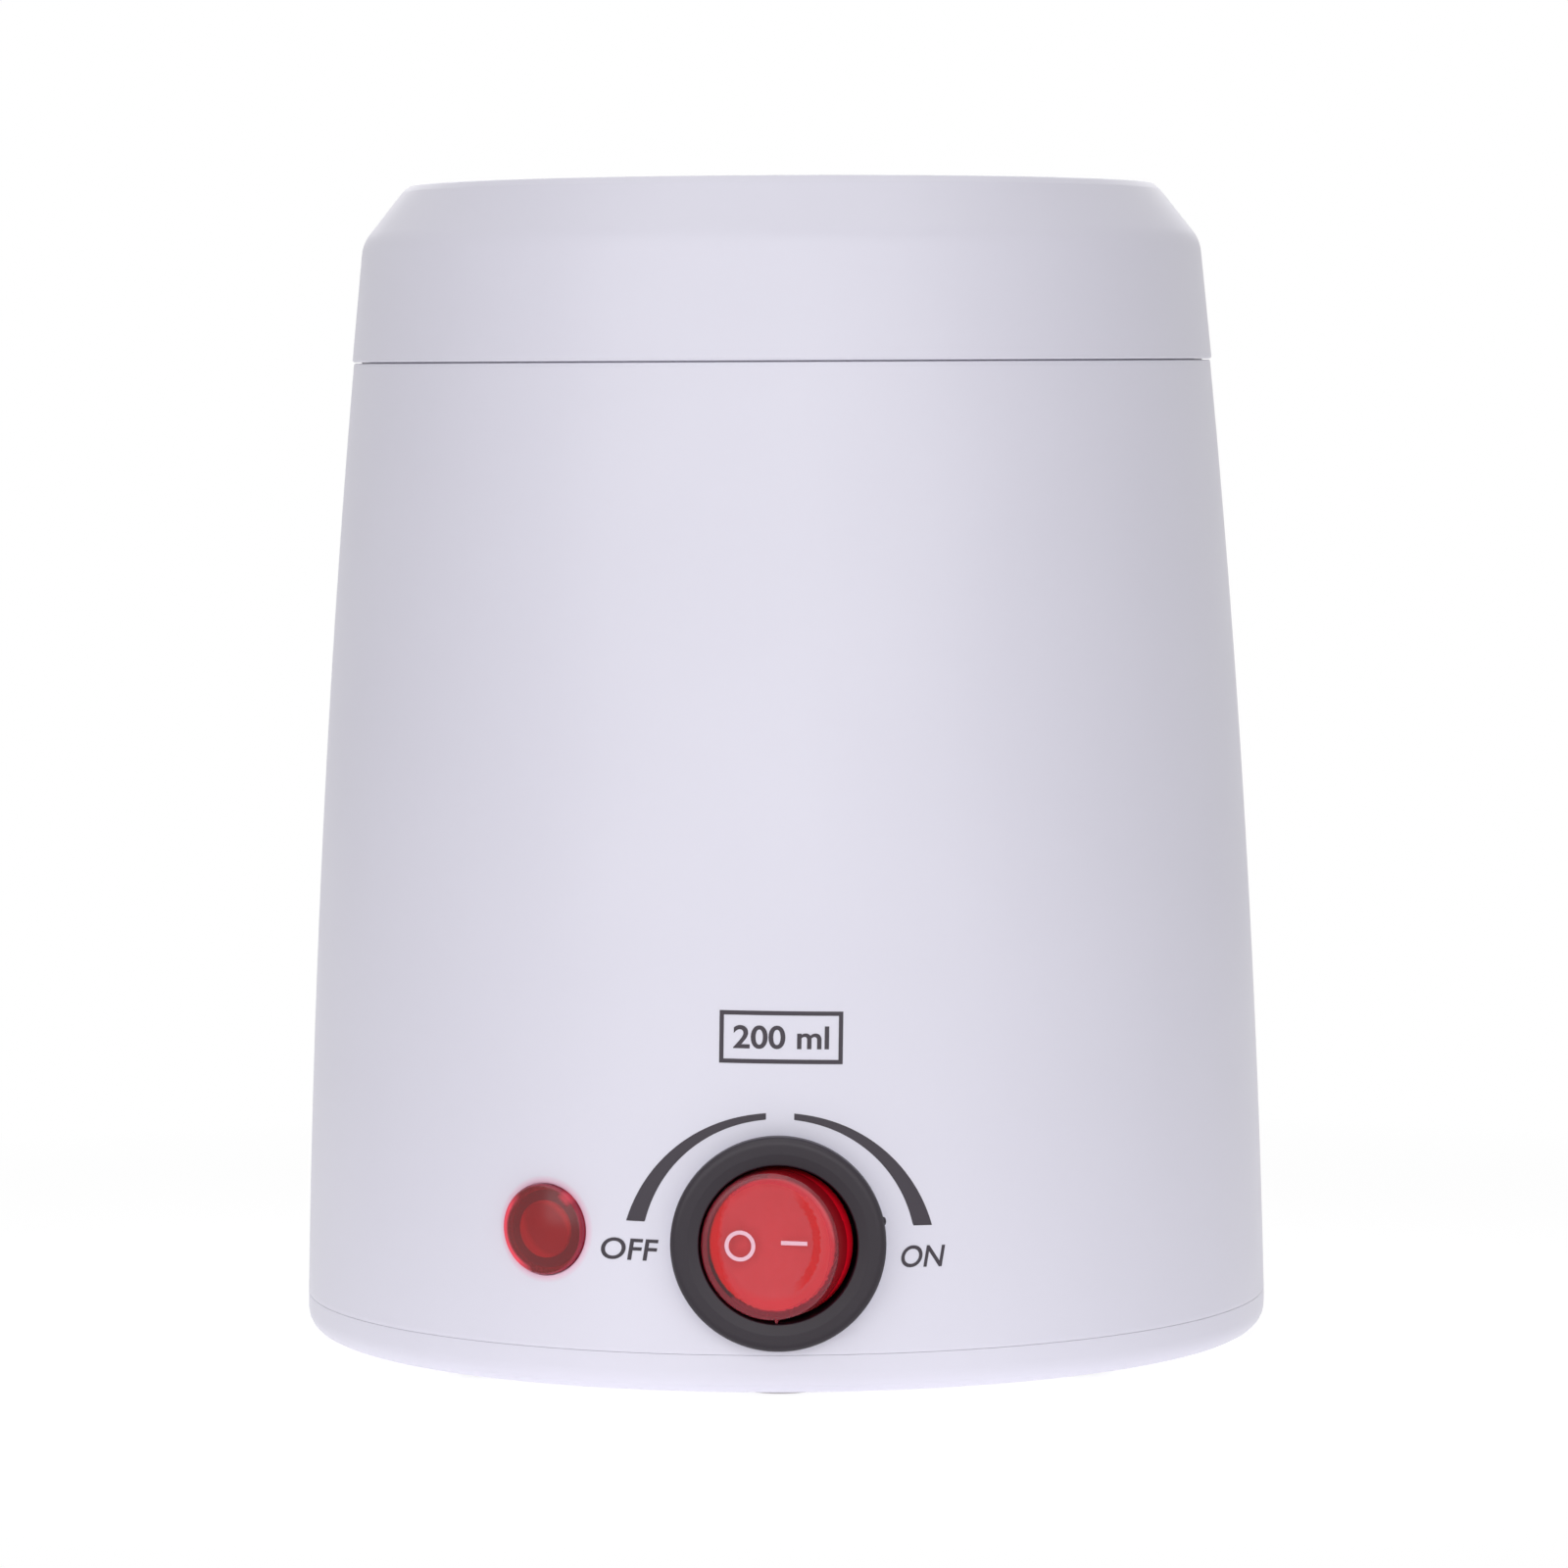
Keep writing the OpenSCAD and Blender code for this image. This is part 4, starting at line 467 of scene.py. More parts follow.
# Top collar: a second moulding of the same ABS. It stands 0.2 mm proud of the flank over a dark shadow
# gap and has a broad chamfer and a soft rim. Inside, a ledge and a short tube guide the pot, and bosses
# take the screws that join it to the shell and to the heating well.
COLLAR_LOW, COLLAR_SHOULDER, COLLAR_TOP = 111.07, 124.5, 130.9
COLLAR_PROUD = 0.2
MOUTH_R, THROAT_R, TUBE_R = 41.2, 37.4, 39.2
LEDGE_Z, TUBE_LOW = 125.6, 115.8
BOSS_RING, BOSS_R, BOSS_TOP = 42.2, 3.0, 124.6
collar_grids = [lathe(closed(rounded([
    (47.0, COLLAR_LOW, 0.1),
    (flank(COLLAR_LOW) + COLLAR_PROUD, COLLAR_LOW, 0.25),
    (flank(COLLAR_SHOULDER) + COLLAR_PROUD, COLLAR_SHOULDER, 4.5),
    (43.0, 130.2, 0.6), (42.2, COLLAR_TOP, 0.6), (MOUTH_R, COLLAR_TOP, 0.6),
    (MOUTH_R, LEDGE_Z, 0.15), (THROAT_R, LEDGE_Z, 0.4), (THROAT_R, TUBE_LOW, 0.2),
    (TUBE_R, TUBE_LOW, 0.2), (TUBE_R, LEDGE_Z - 1.8, 0.3), (43.0, LEDGE_Z - 1.8, 0), (43.0, 124.5, 0),
    (44.53, 123.5, 0.3), (46.155, 113.65, 0.2), (47.0, 113.65, 0)], 6)), shell_turns)]
for first_turn, boss_low in ((60, 110.8), (0, 114.8)):
    boss = closed([(SCREW_BORE, boss_low), (BOSS_R, boss_low), (BOSS_R, BOSS_TOP), (SCREW_BORE, BOSS_TOP)])
    for turn in (first_turn, first_turn + 120, first_turn + 240):
        collar_grids.append(tube_at(turn, BOSS_RING, boss))
make_piece("collar_ring", collar_grids, lavender_abs, "housing", ("top_collar",))


# Base cover: a shallow dish of the same ABS that closes the underside, with vent slots under the heater,
# screw posts, a register rim inside the shell and round recesses for the feet.
def smooth_copy(node, name, material, body, crease=30.0):
    """The CAD node's own shape as one joined mesh, shaded smooth up to the crease.

    Level faces are shaded flat, because roundings beside them would tilt their shading."""
    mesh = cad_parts[node].data.copy()
    mesh.name = name
    joined(mesh, 0.001 * MM)
    normals = np.zeros(len(mesh.polygons) * 3)
    mesh.polygons.foreach_get("normal", normals)
    level = np.abs(normals[2::3]) > 0.9999
    mesh.set_sharp_from_angle(angle=math.radians(crease))
    mesh.polygons.foreach_set("use_smooth", ~level)
    put_in_place(name, mesh, material, body, (node,))


smooth_copy("base_cover", "base_dish", lavender_abs, "housing")


# Feet: four moulded rubber pads pressed into recesses of the base cover, each with a shallow dimple.
FOOT_RING = 43.0
foot_profile = rounded([(2.5, 0.25, 0.2), (3.1, 0.0, 0.2), (4.5, 0.0, 0.5), (4.5, 1.6, 0)], 4)
foot_profile = np.concatenate([[[0.0, 0.25]], foot_profile, [[0.0, 1.6]]])

# Grey rubber: matt, with a fine even grain
grey_rubber = moulded_plastic("moulded_grey_rubber", "#BDBABC", "#B3B0B2", 0.78, grain=0.2)
make_piece("feet_pads", [tube_at(turn, FOOT_RING, foot_profile) for turn in (0, 90, 180, 270)],
           grey_rubber, "housing", ("rubber_feet",))


# Screws: zinc-plated steel, self-tapping, with cross slots in their heads.
def worked_metal(name, colour, drift, roughness, grain, stretch=(1, 1, 1), relief=0.1, patches=6.0):
    """A metal skin: colour wanders in soft patches, and fine marks of `grain` millimetres are drawn out by
    `stretch`, as rolling, drawing or plating leaves them."""
    made, tree, place = new_material(name)
    patch = add_node(tree, "TexNoise", {"Scale": 1 / (patches * MM), "Detail": 3.0}, {"Vector": place})
    tone = add_node(tree, "MixRGB", {"Color1": linear(colour), "Color2": linear(drift)}, {"Fac": patch})
    drawn = add_node(tree, "Mapping", {"Scale": stretch}, {"Vector": place})
    marks = add_node(tree, "TexNoise", {"Scale": 1 / (grain * MM), "Detail": 2.0}, {"Vector": drawn})
    opaque_skin(tree, tone, marks, roughness * 0.8, roughness * 1.25, marks, relief, {"Metallic": 1.0})
    return made


def finish(material, *nodes):
    """Gives CAD nodes whose shape stays as it is their real finish."""
    for node in nodes:
        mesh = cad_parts[node].data
        mesh.materials.clear()
        mesh.materials.append(material)


# Bright zinc plating: pale blue-grey and fairly even
zinc_steel = worked_metal("zinc_plated_steel", "#B4B8BC", "#9DA3A9", 0.32, 0.3)
finish(zinc_steel, "base_screws", "collar_screws", "well_screws")


# Heating well: a deep-drawn aluminium cup that hangs from the collar and heats the pot; its wall keeps
# the fine upright marks of drawing. A silicone ring seals it against the collar.
drawn_aluminium = worked_metal("drawn_aluminium", "#C6C8CA", "#B6B9BC", 0.34, 0.25, (1, 1, 0.08), 0.2, 14.0)
smooth_copy("heating_well", "heated_cup", drawn_aluminium, "housing")

# Silicone rubber: brick red and dull
finish(moulded_plastic("cured_silicone_rubber", "#B4553A", "#A84C33", 0.6), "well_seal")


# Heater band, its clamp and its insulation: mica strips in a sheet jacket, held by a steel strap with a
# bolt through its two ears, inside a blanket of woven glass fibre.

# Steel sheet browned by heat: dull, with coarse marks
finish(worked_metal("oxidised_steel_jacket", "#9A9488", "#857F74", 0.5, 0.6, (1, 1, 4)), "heater_band")
finish(zinc_steel, "band_clamp", "clamp_bolt", "clamp_nut")


def woven_fibre(name, colour, shade, thread):
    """Glass-fibre cloth: two crossing sets of fine ridges, `thread` millimetres apart, with paler tops."""
    made, tree, place = new_material(name)
    waves = []
    for turned in (0.6, -0.6):
        turn = add_node(tree, "Mapping", {"Rotation": (turned, turned, 0.4)}, {"Vector": place})
        waves.append(add_node(tree, "TexWave", {"wave_type": "BANDS", "bands_direction": "Z",
                                                "Scale": 1 / (thread * MM) / 3.2, "Distortion": 0.6},
                              {"Vector": turn}).outputs["Fac"])
    cloth = add_node(tree, "Math", {"operation": "MULTIPLY"}, {0: waves[0], 1: waves[1]})
    tone = add_node(tree, "MixRGB", {"Color1": linear(shade), "Color2": linear(colour)}, {"Fac": cloth})
    relief = add_node(tree, "Bump", {"Strength": 0.5, "Distance": 0.15 * MM}, {"Height": cloth})
    shader = add_node(tree, "BsdfPrincipled", {"Roughness": 0.85, "Sheen Weight": 0.2},
                      {"Base Color": tone, "Normal": relief})
    add_node(tree, "OutputMaterial", (), {"Surface": shader})
    return made


glass_fibre = woven_fibre("woven_glass_fibre", "#ECE8DE", "#C9C4B6", 1.2)
finish(glass_fibre, "insulation_sleeve", "fuse_sleeve")


# Thermostat and fuse: a snap-disc thermostat of black phenolic with an aluminium cap, and a one-shot
# thermal fuse in its sleeve, both held under the well by steel brackets and screws.

# Rolled brass is warm yellow and quite bright, and phenolic a dull brown-black
brass = worked_metal("rolled_brass", "#CBA552", "#B8924A", 0.3, 0.3)
phenolic = moulded_plastic("black_phenolic", "#2B2926", "#24221F", 0.45, grain=0.2)
finish(drawn_aluminium, "thermostat_cap")
finish(phenolic, "thermostat_body")
finish(brass, "thermostat_blades", "thermal_fuse", "earth_tag")
finish(zinc_steel, "thermostat_bracket", "thermostat_screws", "fuse_clip", "fuse_clip_screw")


# Switch housing: one black nylon moulding, a round bezel with a body behind it that snaps into the
# panel. A fine step runs round the bezel's front, and its rim keeps a small nib from the mould's gate.
def spun_out(profile, turn, height, steps):
    """A profile of (radius, distance out) carried round an axis that points out of the body at a turn."""
    profile = np.asarray(profile, float)
    around = np.radians(np.linspace(0, 360, steps + 1))
    return to_direction(turn, height, profile[:, :1] * np.cos(around), profile[:, :1] * np.sin(around),
                        profile[:, 1:])


def open_profile(corners, steps=5):
    """A rounded outline whose two ends lie on the axis, with support points along its straight sides."""
    return closed(rounded(corners, steps))[:-3]


# Satin black nylon: a slight purple cast, and soft grey highlights on its edges
black_nylon = moulded_plastic("satin_black_nylon", "#231A25", "#1E1620", 0.42, grain=0.25, ior=1.45)
BEZEL_R, BEZEL_FRONT, OPENING_R = 11.5, 56.583, 8.45
housing_profile = open_profile([
    (0, 36.583, 0), (OPENING_R, 36.583, 0.3), (OPENING_R, 56.43, 0.2), (9.7, BEZEL_FRONT, 0.5),
    (BEZEL_R, BEZEL_FRONT, 0.8), (BEZEL_R, 54.583, 0.1), (9.9, 54.583, 0), (9.9, 34.583, 0.3),
    (0, 34.583, 0)], 8)

# The nib: half sunk in the rim, right of the axis and a little above it
NIB_ANGLE, NIB_OUT, NIB_RING = math.radians(12), 55.4, BEZEL_R - 0.05
nib_u = np.linspace(0, math.pi, 9)[:, None]
nib_v = np.linspace(0, 2 * math.pi, 17)
nib = to_direction(
    0, SWITCH_HEIGHT,
    NIB_RING * math.cos(NIB_ANGLE) + 0.28 * np.sin(nib_u) * np.cos(nib_v),
    NIB_RING * math.sin(NIB_ANGLE) + 0.5 * np.sin(nib_u) * np.sin(nib_v),
    NIB_OUT + 0.4 * np.cos(nib_u))

# Snap wings above and below, two wedges that hold the panel from behind: (Y, distance from the axis)
WING = [(-51.43, 9.5), (-51.43, 10.8), (-46.58, 9.8), (-46.58, 9.5)]
WING_HALF = 2.5
wing_grids = []
for side in (-1, 1):
    ends = np.array([[[x, y, SWITCH_HEIGHT + side * z] for y, z in WING + WING[:1]]
                     for x in (-WING_HALF, WING_HALF)])
    wing_grids += [ends] + [end[[0, 1, 3, 2]].reshape(2, 2, 3) for end in ends]
make_piece("switch_bezel", [spun_out(housing_profile, 0, SWITCH_HEIGHT, 128), nib] + wing_grids,
           black_nylon, "housing", ("switch_housing",), 36)


# Rocker: a round button of clear red polycarbonate, hollow behind its dished face, that tips about an
# upright pin. It lies in its off position, so its right flank stands out of the bezel. The hollow's own
# skin is frosted by spark erosion of the mould, so that the whole face glows when its lamp is lit.
def clear_plastic(name, colour, drift, inside, haze):
    """Clear coloured plastic: each wall tints what is seen and lit through it, scatters a share `haze` of
    the light in its own deeper colour, and mirrors more towards its edges. Flow in the mould varies the
    tint, and the polish wanders a little."""
    made, tree, place = new_material(name)
    flow = add_node(tree, "TexNoise", {"Scale": 1 / (2.2 * MM), "Detail": 3.0, "Distortion": 1.2},
                    {"Vector": place})
    tone = add_node(tree, "MixRGB", {"Color1": linear(colour), "Color2": linear(drift)}, {"Fac": flow})
    polish = add_node(tree, "TexNoise", {"Scale": 1 / (0.7 * MM), "Detail": 2.0}, {"Vector": place})
    relief = add_node(tree, "Bump", {"Strength": 0.03, "Distance": 0.01 * MM}, {"Height": polish})
    through = add_node(tree, "BsdfTransparent", (), {"Color": tone})
    scatter = add_node(tree, "BsdfDiffuse", {"Color": linear(inside)})
    bulk = add_node(tree, "MixShader", {0: haze}, {1: through, 2: scatter})
    mirror = add_node(tree, "BsdfGlossy", {"Color": linear("#DEDEE2"), "Roughness": 0.22},
                      {"Normal": relief})
    share = add_node(tree, "Fresnel", {"IOR": POLYCARBONATE_IOR})
    both = add_node(tree, "MixShader", (), {0: share, 1: bulk, 2: mirror})
    add_node(tree, "OutputMaterial", (), {"Surface": both})
    return made


POLYCARBONATE_IOR = 1.58
ROCKER_PIVOT_Y = -53.583
ROCKER_TILT = math.radians(-12)
FACE_DISH, FACE_H, FACE_R = 0.45, 4.798, 7.4
DISH_R = ((FACE_R - 0.6) ** 2 + FACE_DISH**2) / (2 * FACE_DISH)
FACE_TALLER = 0.45
HOLLOW_R, HOLLOW_TOP = 6.9, 3.15


def in_rocker(x, y, out):
    """Rocker coordinates (right, up, out of the face) as the button lies when off."""
    x, y, out = np.broadcast_arrays(x, y, out)
    c, s = math.cos(ROCKER_TILT), math.sin(ROCKER_TILT)
    return np.stack([x * c + out * s, ROCKER_PIVOT_Y + x * s - out * c, SWITCH_HEIGHT + y], -1)


def dish(across):
    """Height of the face: a cylinder of radius DISH_R, upright like the pin, sunk FACE_DISH into it."""
    return FACE_H - FACE_DISH + DISH_R - np.sqrt(DISH_R**2 - np.asarray(across) ** 2)


def upright_oval(outline, turns):
    """An outline carried round the button's axis. Towards the face, the top and bottom grow FACE_TALLER
    wider and sink as the dish does, so that the face is hollow from left to right only."""
    radius, out = outline[:, :1], outline[:, 1:]
    share = np.clip(out / FACE_H, 0, 1) * np.sin(turns) ** 2
    wide = radius * (1 + FACE_TALLER / FACE_R * share)
    sunk = FACE_DISH * share * (radius / FACE_R) ** 2
    return in_rocker(wide * np.cos(turns), wide * np.sin(turns), out - sunk)


face_radii = np.linspace(0, FACE_R - 0.75, 24)
ROCKER_BACK = -5.0
rocker_outline = np.concatenate([
    np.stack([face_radii, dish(face_radii)], -1),
    open_profile([(0, FACE_H, 0), (FACE_R, FACE_H, 0.6), (7.852, 1.7, 0), (8.1, 0.0, 0.4),
                  (7.1, ROCKER_BACK, 0.3), (5.9, ROCKER_BACK, 0.2), (6.9, 0.0, 0.4),
                  (HOLLOW_R, HOLLOW_TOP, 0.25), (0, HOLLOW_TOP, 0)], 8)[3:]])
TUBE_IN, TUBE_OUT, BORE_TOP = 1.3, 2.2, 2.0
plunger_tube = np.array([[0, HOLLOW_TOP - 0.01], [TUBE_OUT, HOLLOW_TOP - 0.01], [TUBE_OUT, ROCKER_BACK],
                         [TUBE_IN, ROCKER_BACK], [TUBE_IN, BORE_TOP], [0, BORE_TOP]])
rocker_round = np.radians(np.linspace(0, 360, 129))
rocker_skin, tube_skin = [upright_oval(outline, rocker_round) for outline in (rocker_outline, plunger_tube)]

# Pivot pin: one rod of the same moulding, standing out above and below
PIN_R, PIN_END = 1.2, 9.0
pin_turns = np.radians(np.linspace(0, 360, 33))
pin = np.stack([in_rocker(r * np.cos(pin_turns), h, r * np.sin(pin_turns))
                for r, h in ((0, -PIN_END), (PIN_R, -PIN_END), (PIN_R, PIN_END), (0, PIN_END))])

# Trace of the gate at the lower rim: a small ellipsoid, half sunk
GATE_AT, GATE_R = (0.6, -7.9, 3.7), (0.2, 0.35, 0.4)
gate = in_rocker(GATE_AT[0] + GATE_R[0] * np.sin(nib_u) * np.cos(nib_v),
                 GATE_AT[1] + GATE_R[1] * np.sin(nib_u) * np.sin(nib_v),
                 GATE_AT[2] + GATE_R[2] * np.cos(nib_u))

# Clear red: bright where thin, deep and almost opaque where the wall is thick or seen edge on. The third
# copy is a darker red painted as shade on the right of the face's rim, and the fourth a painted highlight
# on the rest of that rim
clear_red = clear_plastic("clear_red_polycarbonate", "#FEA3A9", "#FB979D", "#D0081C", 0.03)
thick_red = clear_plastic("thick_red_polycarbonate", "#F0303C", "#E82834", "#FC0A26", 0.9)
painted_shade_red = clear_plastic("red_polycarbonate_in_painted_shade", "#B0202C", "#A81A26", "#A80A1A", 0.8)
painted_highlight_red = clear_plastic("red_polycarbonate_painted_rim_highlight", "#FE8A94", "#FB7E88", "#CC2C44", 0.28)
rocker = make_piece("rocker_button", [rocker_skin, tube_skin, pin, gate], clear_red, "rocker",
                    ("switch_rocker",), 40)


def frosted_hollow():
    """The hollow's skin: pale, because its fine pits scatter light, with a deeper red towards the edge,
    where the plastic is thicker, and a ragged clear border where the spark erosion stops. Each zone is a
    distance from a point near the axis, counted shorter upright than across and made ragged by noise."""
    made, tree, place = new_material("frosted_red_polycarbonate")
    middle = tuple(in_rocker(0.0, 0.0, 0.0) * MM)
    centred = add_node(tree, "VectorMath", {"operation": "SUBTRACT", 1: middle}, {0: place})
    level = add_node(tree, "VectorRotate", {"rotation_type": "Z_AXIS", "Angle": -ROCKER_TILT},
                     {"Vector": centred})
    ragged = add_node(tree, "TexNoise", {"Scale": 1 / (0.45 * MM), "Detail": 3.0}, {"Vector": place})
    reach = []
    # How far left of the axis each zone's point lies, and how its height counts
    for aside, upright in ((0.0, 0.93), (-1.6, 0.82), (0.4, 0.9)):
        moved = add_node(tree, "VectorMath", {"operation": "ADD", 1: (aside * MM, 0, -0.4 * MM)}, {0: level})
        flat = add_node(tree, "VectorMath", {"operation": "MULTIPLY", 1: (1, 0, upright)}, {0: moved})
        radius = add_node(tree, "VectorMath", {"operation": "LENGTH"}, {0: flat}).outputs["Value"]
        reach.append(add_node(tree, "Math", {"operation": "MULTIPLY_ADD", 1: 0.5 * MM},
                              {0: ragged, 2: radius}))
    edge, left, right = reach
    side = add_node(tree, "SeparateXYZ", (), {"Vector": level}).outputs["X"]
    clear, outer, left_crescent, right_zone, right_only = [
        add_node(tree, "MapRange", {"From Min": low * MM, "From Max": high * MM}, {"Value": source})
        for source, low, high in ((edge, 7.1, 7.3), (edge, 5.6, 6.3), (left, 7.3, 7.8), (right, 5.0, 6.4),
                                  (side, 2.2, 3.6))]
    band = add_node(tree, "MixRGB", {"Color1": linear("#FFD4D8"), "Color2": linear("#FFB6C0")},
                    {"Fac": outer})
    # The right crescent rises and falls again within its zone
    crescent = add_node(tree, "ValToRGB", (), {"Fac": right_zone})
    for at, full in ((0.0, 0.0), (0.18, 1.0), (0.62, 1.0), (0.75, 0.0)):
        stop = crescent.color_ramp.elements.new(at) if 0 < at else crescent.color_ramp.elements[0]
        stop.color = (full, full, full, 1.0)
    crescent.color_ramp.elements[-1].color = (0.0, 0.0, 0.0, 1.0)
    right_crescent = add_node(tree, "Math", {"operation": "MULTIPLY"}, {0: crescent, 1: right_only})
    deep = add_node(tree, "Math", {"operation": "MAXIMUM"}, {0: left_crescent, 1: right_crescent})
    tone = add_node(tree, "MixRGB", {"Color2": linear("#FF0018")}, {"Fac": deep, "Color1": band})
    pits = add_node(tree, "TexNoise", {"Scale": 1 / (0.12 * MM), "Detail": 2.0}, {"Vector": place})
    relief = add_node(tree, "Bump", {"Strength": 0.3, "Distance": 0.03 * MM}, {"Height": pits})
    matt = add_node(tree, "BsdfDiffuse", (), {"Color": tone, "Normal": relief})
    opened = add_node(tree, "BsdfTransparent", {"Color": linear("#F6959A")})
    both = add_node(tree, "MixShader", (), {0: clear, 1: matt, 2: opened})
    add_node(tree, "OutputMaterial", (), {"Surface": both})
    return made


def face_middles(mesh):
    """The middle of each face, in millimetres."""
    middles = np.zeros(len(mesh.polygons) * 3)
    mesh.polygons.foreach_get("center", middles)
    return middles.reshape(-1, 3) / MM


for skin in (frosted_hollow(), thick_red, painted_highlight_red, painted_shade_red):
    rocker.data.materials.append(skin)

# Which wall a face of the button belongs to, by its distance from the axis and its height
FLANK_FROM, EDGE_FROM, EDGE_LOW, SHADE_TOP = 7.0, 6.75, 1.75, 4.1
button = face_middles(rocker.data) - [0, ROCKER_PIVOT_Y, SWITCH_HEIGHT]
face_across = button[:, 0] * math.cos(ROCKER_TILT) + button[:, 1] * math.sin(ROCKER_TILT)
face_out = button[:, 0] * math.sin(ROCKER_TILT) - button[:, 1] * math.cos(ROCKER_TILT)
from_axis = np.hypot(face_across, button[:, 2])
in_hollow = ((face_out < HOLLOW_TOP + 0.05) & (from_axis < 7.3 - 0.05 * np.abs(face_out))
             & (face_out > ROCKER_BACK - 0.05))
in_flank = ~in_hollow & (from_axis > FLANK_FROM) & (face_out < EDGE_LOW)
in_edge = ~in_hollow & (from_axis > EDGE_FROM) & (face_out > EDGE_LOW)
in_shade = in_edge & (face_out < SHADE_TOP) & (face_across > 1.0 - 0.3 * button[:, 2])
# The rim's faces take the copy with the painted highlight, those in in_shade the darker copy with painted
# shade
rocker.data.polygons.foreach_set("material_index", np.select(
    [in_hollow, in_flank, in_shade, in_edge], [1, 2, 4, 3], 0).astype(np.int32))


# Marks on the rocker: a ring for off and a dash for on, pad printed in white ink on the dished face.
def on_face(x, y):
    """Points of the face with a print's thickness over it."""
    return in_rocker(x, y, dish(x) + PRINT_THICKNESS)


PRINT_THICKNESS = 0.02
RING_AT, DASH_AT = (-3.17, 0.05), (2.72, 0.48)
RING_IN, RING_OUT, DASH_L, DASH_W = 1.22, 1.65, 2.9, 0.44
mark_turns = np.radians(np.linspace(0, 360, 65))
mark_ring = np.array([RING_IN, (RING_IN + RING_OUT) / 2, RING_OUT])[:, None]
ring_mark = on_face(RING_AT[0] + mark_ring * np.cos(mark_turns), RING_AT[1] + mark_ring * np.sin(mark_turns))
dash_mark = on_face(*np.meshgrid(DASH_AT[0] + DASH_L * np.linspace(-0.5, 0.5, 13),
                                 DASH_AT[1] + DASH_W * np.linspace(-0.5, 0.5, 4)))

# White ink, which the red under and round it turns pink
white_ink = moulded_plastic("white_printing_ink", "#E9BCCB", "#E2B2C4", 0.5)
make_piece("rocker_marks", [ring_mark, dash_mark], white_ink, "rocker")


# Inside the switch: brass blades and contact lever, a brass plunger on a steel spring, a small neon tube
# in the rocker, and sleeved push-on connectors.

# Lamp glass is grey and glossy, and natural nylon a warm satin white
neon_glass = moulded_plastic("lamp_glass", "#9AA0A2", "#7E8688", 0.08)
white_nylon = moulded_plastic("natural_white_nylon", "#EDEAE0", "#E6E2D6", 0.5)
finish(brass, "switch_blades", "contact_lever", "rocker_plunger")
finish(zinc_steel, "plunger_spring")
finish(neon_glass, "rocker_lamp")
finish(white_nylon, "spade_connectors")


# Pilot lens: a cap of clear red polycarbonate with a domed front and a long hollow barrel, which a push-on
# clip holds from behind. Over the bulb its back is a frosted window, and its thick edge catches the light.
LENS_R, WINDOW_R = 4.9, 3.1
WINDOW_OUT, BARREL_END = LENS_SEAT + 0.5, LENS_SEAT - 14
dome_radii = np.linspace(0, LENS_R - 0.5, 20)
lens_profile = np.concatenate([
    np.stack([dome_radii, LENS_SEAT + 1.1 + 0.7 * (1 - (dome_radii / (LENS_R - 0.4)) ** 2)], -1),
    open_profile([(0, LENS_SEAT + 1.1, 0), (LENS_R - 0.25, LENS_SEAT + 1.1, 0.2),
                  (LENS_R, LENS_SEAT + 0.75, 0.25), (LENS_R, LENS_SEAT, 0), (4.2, LENS_SEAT, 0),
                  (4.2, BARREL_END, 0.3), (3.2, BARREL_END, 0.3), (WINDOW_R, LENS_SEAT, 0.3),
                  (WINDOW_R, WINDOW_OUT, 0.2), (0, WINDOW_OUT, 0)])[3:]])

# Red lens: darker than the rocker, with a hazy edge and a paler, grainy window
red_lens = clear_plastic("clear_red_lens", "#F24654", "#EA3C4C", "#B01018", 0.3)
lens_wall = clear_plastic("thick_red_lens_edge", "#F06078", "#E85870", "#B41C3C", 0.6)
window = moulded_plastic("frosted_lens_window", "#D8564E", "#B83C38", 0.6, grain=0.6)
lens = make_piece("pilot_cap", [spun_out(lens_profile, LENS_TURN, LENS_HEIGHT, 96)], red_lens, "housing",
                  ("pilot_lens",), 40)
for skin in (window, lens_wall):
    lens.data.materials.append(skin)
lens_ahead = np.array([math.sin(math.radians(LENS_TURN)), -math.cos(math.radians(LENS_TURN)), 0])
lens_right = np.array([math.cos(math.radians(LENS_TURN)), math.sin(math.radians(LENS_TURN)), 0])
lens_faces = face_middles(lens.data) - [0, 0, LENS_HEIGHT]
lens_out = lens_faces @ lens_ahead
lens_aside = np.linalg.norm(lens_faces - lens_out[:, None] * lens_ahead, axis=1)
in_window = (lens_out > LENS_SEAT + 0.1) & (lens_out < WINDOW_OUT + 0.02) & (lens_aside < WINDOW_R + 0.1)
in_wall = (lens_aside > LENS_R - 0.2) & (lens_out < LENS_SEAT + 1.0)
lens.data.polygons.foreach_set("material_index", np.select(
    [in_window, in_wall], [1, 2], 0).astype(np.int32))


def from_lens_axis(tree, right=0.0, up=0.0):
    """The way from the lens's axis to a point, square to the axis, and its length. The axis may be moved
    right and up by millimetres."""
    place = add_node(tree, "TexCoord").outputs["Object"]
    middle = lens_right * right * MM + np.array([0, 0, (LENS_HEIGHT + up) * MM])
    off = add_node(tree, "VectorMath", {"operation": "SUBTRACT", 1: tuple(middle)}, {0: place})
    along = add_node(tree, "VectorMath", {"operation": "PROJECT", 1: tuple(lens_ahead)}, {0: off})
    way = add_node(tree, "VectorMath", {"operation": "SUBTRACT"}, {0: off, 1: along})
    return way, add_node(tree, "VectorMath", {"operation": "LENGTH"}, {0: way}).outputs["Value"]


def tint(tree, share, colour):
    """Mixes a colour into a plastic's own, as much as the share says at each point."""
    skin = tree.nodes["Principled BSDF"]
    own = skin.inputs["Base Color"].links[0].from_socket
    mixed = add_node(tree, "MixRGB", {"Color2": linear(colour)}, {"Fac": share, "Color1": own})
    tree.links.new(mixed.outputs[0], skin.inputs["Base Color"])


